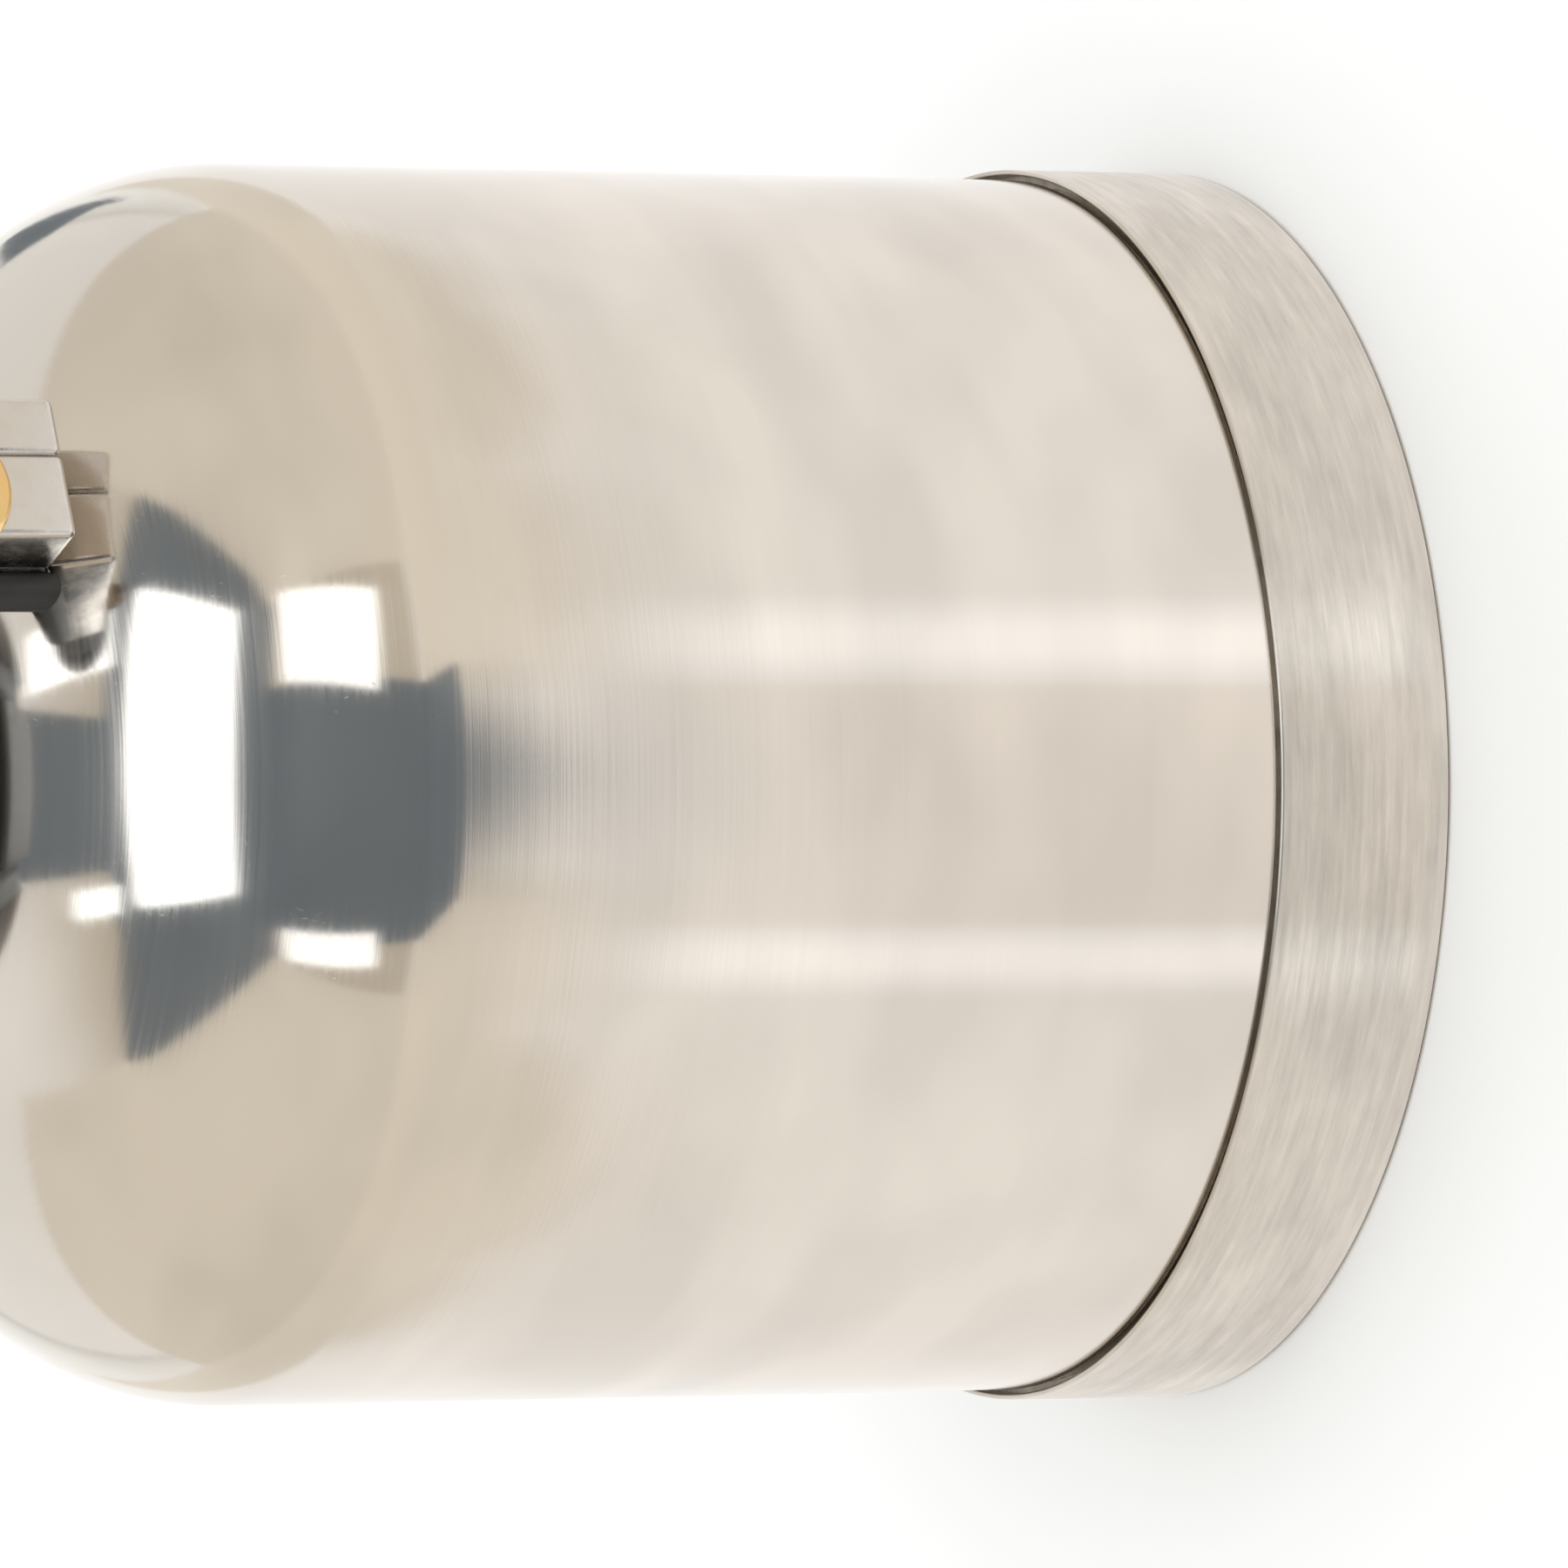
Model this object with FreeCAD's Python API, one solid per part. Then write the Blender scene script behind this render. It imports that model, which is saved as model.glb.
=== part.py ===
import FreeCAD, Part
import math
import os

from FreeCAD import Placement, Rotation, Vector

# Resin pressure pot, millimetres, +Z up, standing on z = 0, the vessel's axis on x = y = 0.

# Vessel
BODY_R = 120.0
SHEET = 1.5
KNUCKLE_Z = 206.5
DOME_H = 82.4
SEAM_Z = 30.0
HEAD_H = 22.0
HEAD_KNUCKLE = 12.0
JOGGLE_STEP = 1.2
JOGGLE_LEAD = 0.6
JOGGLE_RISE = 1.2

# Foot skirt
SKIRT_T = 1.1
SKIRT_GAP = 1.0
SKIRT_H = 36.8
SKIRT_ROLL = 2.2
SKIRT_LIP = 0.5
FOOT_W = 4.2
WELD_H = 4.0

# Clearances
FIT = 0.05
RUN = 0.05
LAND_GAP = 0.3

# Neck, gasket, lid and lock ring
MOUTH_R = 42.0
NECK_WALL = 5.0
NECK_DEPTH = 10.9
NECK_TOP_Z = 303.0
LAND_H = 4.5
LAND_Z = 290.0
LAND_PITCH = 6.0
LAND_DEPTH = 1.4
LAND_W = 3.6
GASKET_T = 2.0
GASKET_STEP = 1.0
GASKET_INSET = 1.5
LID_RIM_INSET = 0.5
LID_RIM_T = 4.0
LID_SHOULDER = 6.0
LID_TOP_Z = 317.0
SPIGOT_GAP = 0.4
SPIGOT_H = 8.0
SPIGOT_WALL = 5.6
LID_T = 7.0
RING_WALL = 8.5
RING_TOP_Z = 315.0
RING_EYE_GAP = 0.6
NOTCHES = 8
NOTCH_R = 5.0
EDGE = 1.2

# Carrying handle
HANDLE_X = 32.0
HANDLE_Y = 20.0
HANDLE_Z = 358.0
HANDLE_BEND = 9.0
ROD_R = 4.0
FOOT_R = 8.0
FOOT_T = 4.0
GRIP_R = 8.5
GRIP_L = 40.0

# Pressure gauge
GAUGE_Y = -21.0
GAUGE_Z = 356.0
GAUGE_R = 26.0
GAUGE_DEPTH = 22.0
CASE_T = 1.5
BEZEL_WALL = 1.5
BEZEL_REACH = 3.5
BEZEL_W = 6.0
BEZEL_LIP = 1.2
LENS_T = 2.0
DIAL_T = 1.0
DIAL_BACK = 13.0
STEM_R = 5.0
STEM_BORE_R = 1.5
STEM_SQ = 14.0
STEM_SQ_H = 9.0
ARBOR_R = 1.0
HUB_R = 2.6
NEEDLE_T = 0.8
NEEDLE_GAP = 8.0
NEEDLE_TAIL = 7.0
NEEDLE_W = 2.4
NEEDLE_LIFT = 2.0
ZERO_ANGLE = 225.0
BOURDON_GAP = 11.0
BOURDON_T = 2.5

# Air manifold on the dome: its own frame starts at the block's near corner
BLOCK_X = 46.5
BLOCK_Y = -80.3
BLOCK_TURN = 26.0
BLOCK_W = 29.0
BLOCK_D = 15.0
BLOCK_Z = 268.0
BLOCK_TOP_Z = 316.0
LINE_X = 17.0
LINE_W = 0.4
LINE_TOP_Z = 304.0
BRACKET_T = 5.0
BRACKET_TOP_Z = 309.0
SCREW_X = 24.0
SCREW_R = 2.0
SCREW_HEAD_R = 3.4
SCREW_HEAD_T = 3.4
SCREW_DEPTH = 4.0
SCREW_LOW_Z = 280.0
SCREW_HIGH_Z = 302.0
ELBOW_X = -3.9
ELBOW_Y = 16.0
ELBOW_R = 3.7
ELBOW_BORE_R = 2.0
ELBOW_DIP = 8.0
ELBOW_TOP_Z = 292.0
ELBOW_ARM_Z = 287.0
ELBOW_ARM_R = 1.9
ELBOW_ARM_L = 3.0
DRILL_X = 19.0
DRILL_Y = 7.5
DRILL_R = 3.0

# Air inlet port on the block's front
INLET_X = 4.5
INLET_Z = 299.0
PORT_FLANGE_R = 14.0
PORT_FLANGE_T = 12.0
AIR_PORT_R = 5.6
AIR_PORT_H = 4.5
CHECK_BORE_R = 3.0
CHECK_R = 4.0
CHECK_T = 3.0
CHECK_ROOM = 8.0
CHECK_ROOM_R = 5.2
CHECK_VANE = 1.5
CHECK_GUIDE_L = 4.0
CROSS_R = 2.5

# Regulator on top of the block
REG_X = 14.5
REG_Y = 7.5
BONNET_R = 13.6
BONNET_H = 26.0
BONNET_T = 2.4
DIAPHRAGM_T = 1.0
DIAPHRAGM_R = 10.9
DIAPHRAGM_ROOM = 2.0
SEAT_R = 8.0
SEAT_T = 3.0
SEAT_Z = 334.0
KEY_W = 2.4
KEY_OUT = 2.2
SCREW_ROD_R = 3.0
KNOB_R = 14.6
KNOB_H = 18.0
KNOB_RIBS = 12
KNOB_RIB_R = 1.3
COLLAR_R = 5.0
COLLAR_T = 1.6
RANGE_SPRING_R = 5.6
RANGE_WIRE_R = 0.8
RANGE_TURNS = 5

# Bosses on the back of the dome
BOSS_R = 13.0
BOSS_TOP_Z = 276.0
OUTLET_X = -62.0
OUTLET_Y = 62.0
RELIEF_X = 62.0
RELIEF_Y = 62.0

# Outlet ball valve
VALVE_SQ = 28.0
VALVE_TOP_Z = 305.0
BALL_Z = 292.0
BALL_R = 9.5
PORT_R = 6.0
CAVITY_R = 11.0
CAVITY_Z = 281.0
SEAT_RING_R = 6.6
SEAT_RING_H = 6.0
STEM_ROD_R = 3.5
STEM_HOLE = 2.5
GLAND_AF = 13.0
GLAND_T = 4.0
LEVER_T = 3.0
LEVER_HUB_R = 8.0
LEVER_L = 55.0
LEVER_W = 12.0
LEVER_NUT_AF = 10.0
LEVER_NUT_T = 3.6
GRIP_SLEEVE_L = 38.0
GRIP_SLEEVE_W = 17.0
GRIP_SLEEVE_T = 7.0
CAP_AF = 24.0
CAP_T = 7.0
BARB_R = 7.0
BARB_L = 26.0
BARB_BORE_R = 4.5
BARB_RINGS = 4
BARB_RISE = 1.0
DIP_R = 8.0
DIP_T = 1.0
DIP_LOW_Z = SEAM_Z

# Relief valve
RELIEF_R = 10.0
RELIEF_TOP_Z = 300.0
RELIEF_PORT_R = 4.0
RELIEF_SEAT_Z = 283.0
RELIEF_ROOM_R = 7.0
RELIEF_CAP_T = 3.0
POPPET_R = 6.0
POPPET_T = 3.0
POPPET_STEM_R = 2.5
POPPET_TOP_Z = 311.0
EYE_Z = 307.0
EYE_R = 1.5
PULL_R = 9.0
PULL_WIRE_R = 1.0
PULL_DROOP = 26.0
RELIEF_SPRING_R = 4.6
RELIEF_WIRE_R = 0.7
RELIEF_TURNS = 5

UP = Vector(0, 0, 1)
JOGGLE_R = BODY_R - JOGGLE_STEP
JOGGLE_Z = SKIRT_H + JOGGLE_LEAD
NECK_LOW_Z = KNUCKLE_Z + DOME_H - NECK_DEPTH
NECK_R = MOUTH_R + NECK_WALL
LAND_R = NECK_R + LAND_H
GASKET_IN_R = MOUTH_R + GASKET_STEP
GASKET_OUT_R = LAND_R - GASKET_INSET
LID_RIM_R = LAND_R - LID_RIM_INSET
LID_TOP_R = LID_RIM_R - LID_SHOULDER
SPIGOT_R = MOUTH_R - SPIGOT_GAP
LID_POCKET_R = SPIGOT_R - SPIGOT_WALL
RING_R = LAND_R + RING_WALL
RING_EYE_R = LID_TOP_R + RING_EYE_GAP
BEZEL_R = GAUGE_R + BEZEL_WALL
BEZEL_IN_R = GAUGE_R - BEZEL_REACH
NEEDLE_L = GAUGE_R - NEEDLE_GAP
BOURDON_R = GAUGE_R - BOURDON_GAP
LID_Z = NECK_TOP_Z + GASKET_T
RING_SHOULDER_Z = LID_Z + LID_RIM_T + FIT
BLOCK_PLACE = Placement(Vector(BLOCK_X, BLOCK_Y, 0), Rotation(UP, BLOCK_TURN))
OUTWARD = Vector(OUTLET_X, OUTLET_Y, 0).normalize()


def turned(points, x=0.0, y=0.0):
    """Revolve a closed (radius, z) outline about the vertical through (x, y)."""
    outline = [Vector(x + r, y, z) for r, z in points]
    face = Part.Face(Part.makePolygon(outline + outline[:1]))
    return face.revolve(Vector(x, y, 0), UP, 360)


def rod(radius, low, high, x=0.0, y=0.0):
    return Part.makeCylinder(radius, high - low, Vector(x, y, low))


def tube(inner, outer, low, high, x=0.0, y=0.0):
    return rod(outer, low, high, x, y).cut(rod(inner, low, high, x, y))


def box(x0, x1, y0, y1, z0, z1):
    return Part.makeBox(x1 - x0, y1 - y0, z1 - z0, Vector(x0, y0, z0))


def hexagon(across_flats, low, high, x=0.0, y=0.0):
    radius = across_flats / math.sqrt(3)
    corners = []
    for k in range(7):
        angle = math.radians(60 * k)
        corners.append(Vector(x + radius * math.cos(angle), y + radius * math.sin(angle), low))
    return Part.Face(Part.makePolygon(corners)).extrude(Vector(0, 0, high - low))


def aimed(shape, at, direction):
    """Carry a shape built about +Z from the origin to a point and a direction."""
    moved = shape.copy()
    moved.Placement = Placement(at, Rotation(UP, direction))
    return moved


def on_block(shape):
    """Carry a shape from the air manifold's frame to the vessel's."""
    moved = shape.copy()
    moved.Placement = BLOCK_PLACE.multiply(shape.Placement)
    return moved


def joined(first, *others):
    whole = first
    for other in others:
        whole = whole.fuse(other)
    return whole.removeSplitter()


def dome_solid(grow):
    """The vessel's outer form, grown or shrunk evenly, stepped in where the skirt slips over."""
    radius = BODY_R + grow
    step = JOGGLE_R + grow
    centre = Vector(0, 0, KNUCKLE_Z)
    curve = Part.Ellipse(centre + Vector(radius, 0, 0), centre + Vector(0, 0, DOME_H + grow), centre)
    low = Vector(0, 0, SEAM_Z)
    rim = Vector(step, 0, SEAM_Z)
    neck = Vector(step, 0, JOGGLE_Z)
    shoulder = Vector(radius, 0, JOGGLE_Z + JOGGLE_RISE)
    edges = [
        Part.makeLine(low, rim),
        Part.makeLine(rim, neck),
        Part.makeLine(neck, shoulder),
        Part.makeLine(shoulder, centre + Vector(radius, 0, 0)),
        curve.toShape(0, math.pi / 2),
        Part.makeLine(centre + Vector(0, 0, DOME_H + grow), low),
    ]
    face = Part.Face(Part.Wire(Part.__sortEdges__(edges)))
    return face.revolve(Vector(0, 0, 0), UP, 360)


def head_section(grow):
    """Half of the bottom head's section: its knuckle, then its crown down to the axis."""
    reach = JOGGLE_R - HEAD_KNUCKLE
    drop = HEAD_H - HEAD_KNUCKLE
    rise = (reach * reach - drop * drop) / (2 * drop)
    knuckle = Vector(reach, 0, SEAM_Z)
    crown = Vector(0, 0, SEAM_Z + rise)
    slope = (knuckle - crown).normalize()
    lean = (slope + Vector(1, 0, 0)).normalize()
    small = HEAD_KNUCKLE + grow
    large = rise + HEAD_H + grow
    bisector = (slope - UP).normalize()
    meet = knuckle + slope * small
    return [
        Part.Arc(knuckle + Vector(small, 0, 0), knuckle + lean * small, meet).toShape(),
        Part.Arc(meet, crown + bisector * large, crown - UP * large).toShape(),
    ]


def boss_point(x, y):
    return BLOCK_PLACE.multVec(Vector(x, y, 0))


def tank_shell():
    shell = dome_solid(0).cut(dome_solid(-SHEET))
    shell = shell.cut(rod(JOGGLE_R - SHEET, SEAM_Z - 1, SEAM_Z + SHEET))
    shell = shell.cut(rod(NECK_R + FIT, KNUCKLE_Z, NECK_TOP_Z))
    elbow = boss_point(ELBOW_X, ELBOW_Y)
    shell = shell.cut(rod(ELBOW_R + FIT, KNUCKLE_Z, NECK_TOP_Z, elbow.x, elbow.y))
    shell = shell.cut(rod(DIP_R + FIT, KNUCKLE_Z, NECK_TOP_Z, OUTLET_X, OUTLET_Y))
    return shell.cut(rod(RELIEF_PORT_R, KNUCKLE_Z, NECK_TOP_Z, RELIEF_X, RELIEF_Y))


def bottom_head():
    low = SEAM_Z - HEAD_H
    edges = head_section(0) + head_section(-SHEET)
    edges.append(Part.makeLine(Vector(0, 0, low), Vector(0, 0, low + SHEET)))
    edges.append(Part.makeLine(Vector(JOGGLE_R - SHEET, 0, SEAM_Z), Vector(JOGGLE_R, 0, SEAM_Z)))
    face = Part.Face(Part.Wire(Part.__sortEdges__(edges)))
    return face.revolve(Vector(0, 0, 0), UP, 360)


def foot_skirt():
    inner = BODY_R + SKIRT_GAP
    outer = inner + SKIRT_T
    points = [
        (inner, SKIRT_ROLL),
        (inner, SKIRT_H - SKIRT_LIP),
        (inner + SKIRT_LIP, SKIRT_H),
        (outer - SKIRT_LIP / 2, SKIRT_H),
        (outer, SKIRT_H - SKIRT_LIP / 2),
        (outer, SKIRT_ROLL),
        (outer - SKIRT_ROLL / 3, SKIRT_ROLL / 3),
        (outer - SKIRT_ROLL, 0),
        (outer - FOOT_W, 0),
        (outer - FOOT_W, SKIRT_T),
        (inner - SKIRT_T / 2, SKIRT_T),
    ]
    return turned(points)


def skirt_weld():
    middle = SEAM_Z
    return tube(JOGGLE_R + FIT, BODY_R + SKIRT_GAP - FIT, middle - WELD_H / 2, middle + WELD_H / 2)


def neck_collar():
    collar = tube(MOUTH_R, NECK_R, NECK_LOW_Z, NECK_TOP_Z)
    lands = tube(NECK_R - FIT, LAND_R, LAND_Z, NECK_TOP_Z)
    groove = LAND_Z + (LAND_PITCH + LAND_W) / 2
    while groove < NECK_TOP_Z - LAND_PITCH / 2:
        low = groove - (LAND_PITCH - LAND_W) / 2
        lands = lands.cut(tube(LAND_R - LAND_DEPTH, LAND_R + 1, low, low + LAND_PITCH - LAND_W))
        groove += LAND_PITCH
    return joined(collar, lands)


def lid_gasket():
    return tube(GASKET_IN_R, GASKET_OUT_R, NECK_TOP_Z, LID_Z)


def lid_plate():
    low = LID_Z - SPIGOT_H
    points = [
        (0, LID_TOP_Z),
        (LID_TOP_R - EDGE, LID_TOP_Z),
        (LID_TOP_R, LID_TOP_Z - EDGE),
        (LID_TOP_R, LID_Z + LID_RIM_T),
        (LID_RIM_R, LID_Z + LID_RIM_T),
        (LID_RIM_R, LID_Z),
        (SPIGOT_R, LID_Z),
        (SPIGOT_R, low),
        (LID_POCKET_R, low),
        (LID_POCKET_R, LID_TOP_Z - LID_T),
        (0, LID_TOP_Z - LID_T),
    ]
    return turned(points).cut(rod(STEM_R + FIT, LID_Z, LID_TOP_Z + 1, 0, GAUGE_Y))


def lock_ring():
    points = [
        (LAND_R + LAND_GAP, LAND_Z),
        (RING_R - EDGE, LAND_Z),
        (RING_R, LAND_Z + EDGE),
        (RING_R, RING_TOP_Z - EDGE),
        (RING_R - EDGE, RING_TOP_Z),
        (RING_EYE_R, RING_TOP_Z),
        (RING_EYE_R, RING_SHOULDER_Z),
        (LAND_R + LAND_GAP, RING_SHOULDER_Z),
    ]
    ring = turned(points)
    for k in range(NOTCHES):
        angle = 2 * math.pi * (k + 0.5) / NOTCHES
        reach = RING_R + NOTCH_R / 3
        x = reach * math.cos(angle)
        y = reach * math.sin(angle)
        ring = ring.cut(rod(NOTCH_R, LAND_Z - 1, RING_TOP_Z + 1, x, y))
    return ring


def lid_handle():
    bend = HANDLE_BEND
    turn = bend * (1 - math.sqrt(0.5))
    foot_l = Vector(-HANDLE_X, HANDLE_Y, LID_TOP_Z)
    foot_r = Vector(HANDLE_X, HANDLE_Y, LID_TOP_Z)
    shoulder_l = Vector(-HANDLE_X, HANDLE_Y, HANDLE_Z - bend)
    shoulder_r = Vector(HANDLE_X, HANDLE_Y, HANDLE_Z - bend)
    bar_l = Vector(-HANDLE_X + bend, HANDLE_Y, HANDLE_Z)
    bar_r = Vector(HANDLE_X - bend, HANDLE_Y, HANDLE_Z)
    mid_l = Vector(-HANDLE_X + turn, HANDLE_Y, HANDLE_Z - turn)
    mid_r = Vector(HANDLE_X - turn, HANDLE_Y, HANDLE_Z - turn)
    path = Part.Wire([
        Part.makeLine(foot_l, shoulder_l),
        Part.Arc(shoulder_l, mid_l, bar_l).toShape(),
        Part.makeLine(bar_l, bar_r),
        Part.Arc(bar_r, mid_r, shoulder_r).toShape(),
        Part.makeLine(shoulder_r, foot_r),
    ])
    section = Part.Wire(Part.makeCircle(ROD_R, foot_l, UP))
    bail = path.makePipeShell([section], True, False)
    feet = [rod(FOOT_R, LID_TOP_Z, LID_TOP_Z + FOOT_T, x, HANDLE_Y) for x in (-HANDLE_X, HANDLE_X)]
    return joined(bail, *feet)


def handle_grip():
    sleeve = tube(ROD_R + FIT, GRIP_R, 0, GRIP_L)
    edges = [e for e in sleeve.Edges if abs(e.BoundBox.XLength - 2 * GRIP_R) < FIT]
    sleeve = sleeve.makeFillet(EDGE, edges)
    return aimed(sleeve, Vector(-GRIP_L / 2, HANDLE_Y, HANDLE_Z), Vector(1, 0, 0))


def gauge_axis(shape, back):
    """Stand a gauge piece, built about +Z, at a distance in front of the case's back."""
    at = Vector(0, GAUGE_Y + GAUGE_DEPTH / 2 - back, GAUGE_Z)
    return aimed(shape, at, Vector(0, -1, 0))


def gauge_stem():
    square = STEM_SQ / 2
    top = GAUGE_Z - GAUGE_R + 2
    stem = joined(
        rod(STEM_R, LID_TOP_Z - LID_T, top, 0, GAUGE_Y),
        box(-square, square, GAUGE_Y - square, GAUGE_Y + square, LID_TOP_Z, LID_TOP_Z + STEM_SQ_H),
    )
    stem = stem.cut(rod(STEM_BORE_R, LID_TOP_Z - LID_T, top, 0, GAUGE_Y))
    return stem.cut(gauge_axis(rod(GAUGE_R + FIT, -1, GAUGE_DEPTH + 1), 0))


def gauge_case():
    return gauge_axis(rod(GAUGE_R, 0, GAUGE_DEPTH).cut(rod(GAUGE_R - CASE_T, CASE_T, GAUGE_DEPTH)), 0)


def gauge_bezel():
    front = GAUGE_DEPTH + BEZEL_LIP
    points = [
        (GAUGE_R + FIT, GAUGE_DEPTH - BEZEL_W),
        (BEZEL_R, GAUGE_DEPTH - BEZEL_W),
        (BEZEL_R, front - EDGE),
        (BEZEL_R - EDGE, front),
        (BEZEL_IN_R, front),
        (BEZEL_IN_R, GAUGE_DEPTH),
        (GAUGE_R + FIT, GAUGE_DEPTH),
    ]
    return gauge_axis(turned(points), 0)


def gauge_lens():
    return gauge_axis(rod(GAUGE_R - CASE_T - FIT, GAUGE_DEPTH - LENS_T, GAUGE_DEPTH), 0)


def gauge_dial():
    disc = tube(ARBOR_R + RUN, GAUGE_R - CASE_T - FIT, DIAL_BACK, DIAL_BACK + DIAL_T)
    return gauge_axis(disc, 0)


def gauge_needle():
    base = DIAL_BACK + DIAL_T + NEEDLE_LIFT
    half = NEEDLE_W / 2
    angle = math.radians(ZERO_ANGLE)
    tip = half / 4
    upper = [(NEEDLE_L, tip), (0, half), (-NEEDLE_TAIL, half)]
    outline = [(-NEEDLE_TAIL, -half), (0, -half), (NEEDLE_L, -tip)] + upper
    corners = []
    for along, across in outline + outline[:1]:
        x = along * math.cos(angle) - across * math.sin(angle)
        y = along * math.sin(angle) + across * math.cos(angle)
        corners.append(Vector(x, y, base))
    pointer = Part.Face(Part.makePolygon(corners)).extrude(Vector(0, 0, NEEDLE_T))
    hub = rod(HUB_R, base - EDGE / 2, base + 2 * NEEDLE_T)
    arbor = rod(ARBOR_R, DIAL_BACK - NEEDLE_LIFT, base)
    return gauge_turned(joined(pointer, hub, arbor))


def gauge_turned(shape):
    """Gauge frame whose +Y is up and whose +X is the viewer's right."""
    at = Vector(0, GAUGE_Y + GAUGE_DEPTH / 2, GAUGE_Z)
    moved = shape.copy()
    moved.Placement = Placement(at, Rotation(Vector(1, 0, 0), 90))
    return moved


def gauge_movement():
    low = CASE_T + EDGE
    middle = low + BOURDON_T
    spring = Part.makeTorus(BOURDON_R, BOURDON_T, Vector(0, 0, middle), UP, -180, 180, 250)
    spring.rotate(Vector(0, 0, 0), UP, -90)
    bar = box(-BOURDON_T, BOURDON_T, -BOURDON_R - BOURDON_T, BOURDON_T, CASE_T, middle)
    post = rod(HUB_R, middle - EDGE, DIAL_BACK - NEEDLE_LIFT - FIT)
    return gauge_turned(joined(spring, bar, post))


def air_manifold():
    block = box(0, BLOCK_W, 0, BLOCK_D, BLOCK_Z, BLOCK_TOP_Z)
    upright = [e for e in block.Edges if e.BoundBox.ZLength > BLOCK_D + BLOCK_W]
    block = block.makeFillet(EDGE, upright)
    block = block.cut(box(LINE_X, LINE_X + LINE_W, -LINE_W, LINE_W, BLOCK_Z, LINE_TOP_Z))
    block = block.cut(rod(DRILL_R, ELBOW_ARM_Z - DRILL_R, BLOCK_TOP_Z, DRILL_X, DRILL_Y))
    block = block.cut(inlet(rod(CHECK_ROOM_R, -CHECK_ROOM, 0)))
    block = block.cut(cross_hole())
    block = block.cut(along(ELBOW_ARM_R, Vector(DRILL_X, DRILL_Y, ELBOW_ARM_Z), Vector(0, BLOCK_D, 0)))
    for z in (SCREW_LOW_Z, SCREW_HIGH_Z):
        block = block.cut(back_hole(SCREW_R + FIT, z, SCREW_DEPTH))
    return on_block(block).cut(dome_solid(FIT))


def along(radius, start, run):
    """A round bar from a point along a vector."""
    return Part.makeCylinder(radius, run.Length, start, run)


def inlet(shape):
    """Aim a piece of the inlet, built about +Z, out of the block's front."""
    return aimed(shape, Vector(INLET_X, 0, INLET_Z), Vector(0, -1, 0))


def cross_hole():
    return along(CROSS_R, Vector(INLET_X, CHECK_ROOM - CROSS_R, INLET_Z), Vector(DRILL_X - INLET_X, 0, 0))


def back_hole(radius, z, depth):
    start = Vector(SCREW_X, BLOCK_D - depth, z)
    return Part.makeCylinder(radius, depth + BRACKET_T, start, Vector(0, 1, 0))


def manifold_bracket():
    middle = BLOCK_D + BRACKET_T / 2
    bracket = box(0, BLOCK_W, BLOCK_D, BLOCK_D + BRACKET_T, KNUCKLE_Z, BRACKET_TOP_Z)
    arm = Vector(DRILL_X, middle, ELBOW_ARM_Z)
    bracket = bracket.cut(along(ELBOW_ARM_R + FIT, arm, Vector(-DRILL_X, 0, 0)))
    bracket = bracket.cut(along(ELBOW_ARM_R, arm, Vector(0, -BRACKET_T, 0)))
    for z in (SCREW_LOW_Z, SCREW_HIGH_Z):
        bracket = bracket.cut(back_hole(SCREW_R + FIT, z, SCREW_DEPTH))
    return on_block(bracket).cut(dome_solid(FIT))


def bracket_screws():
    screws = []
    for z in (SCREW_LOW_Z, SCREW_HIGH_Z):
        shank = back_hole(SCREW_R, z, SCREW_DEPTH - EDGE)
        start = Vector(SCREW_X, BLOCK_D + BRACKET_T, z)
        head = Part.makeCylinder(SCREW_HEAD_R, SCREW_HEAD_T, start, Vector(0, 1, 0))
        socket = hexagon(SCREW_HEAD_R, 0, SCREW_HEAD_T / 2)
        socket = aimed(socket, start + Vector(0, SCREW_HEAD_T, 0), Vector(0, -1, 0))
        screws.append(on_block(joined(shank, head).cut(socket)))
    return Part.makeCompound(screws)


def dome_z(point):
    """Height of the dome's outside over a point."""
    return KNUCKLE_Z + DOME_H * math.sqrt(1 - (point.x ** 2 + point.y ** 2) / BODY_R ** 2)


def air_elbow():
    low = dome_z(boss_point(ELBOW_X, ELBOW_Y)) - ELBOW_DIP
    turn = Vector(ELBOW_X, BLOCK_D + BRACKET_T / 2, ELBOW_ARM_Z)
    arm = along(ELBOW_ARM_R, turn, Vector(ELBOW_ARM_L - ELBOW_X, 0, 0))
    elbow = joined(rod(ELBOW_R, low, ELBOW_TOP_Z, ELBOW_X, ELBOW_Y), arm)
    elbow = elbow.cut(rod(ELBOW_BORE_R, low, ELBOW_ARM_Z, ELBOW_X, ELBOW_Y))
    return on_block(elbow.cut(along(ELBOW_BORE_R / 2, turn, Vector(ELBOW_ARM_L - ELBOW_X, 0, 0))))


def inlet_port():
    points = [
        (CHECK_ROOM_R, 0),
        (PORT_FLANGE_R - EDGE, 0),
        (PORT_FLANGE_R, EDGE),
        (PORT_FLANGE_R, PORT_FLANGE_T - EDGE),
        (PORT_FLANGE_R - EDGE, PORT_FLANGE_T),
        (AIR_PORT_R, PORT_FLANGE_T),
        (AIR_PORT_R, PORT_FLANGE_T - AIR_PORT_H),
        (CHECK_BORE_R, PORT_FLANGE_T - AIR_PORT_H),
        (CHECK_BORE_R, CHECK_T),
        (CHECK_ROOM_R, CHECK_T),
    ]
    return on_block(inlet(turned(points)))


def check_poppet():
    half = CHECK_VANE / 2
    reach = CHECK_BORE_R
    top = CHECK_T + CHECK_GUIDE_L
    vanes = joined(box(-half, half, -reach, reach, 0, top), box(-reach, reach, -half, half, 0, top))
    guide = vanes.common(rod(CHECK_BORE_R - RUN, 0, top))
    return on_block(inlet(joined(rod(CHECK_R, 0, CHECK_T), guide)))


def diaphragm():
    return on_block(rod(DIAPHRAGM_R, BLOCK_TOP_Z, BLOCK_TOP_Z + DIAPHRAGM_T, REG_X, REG_Y))


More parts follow.
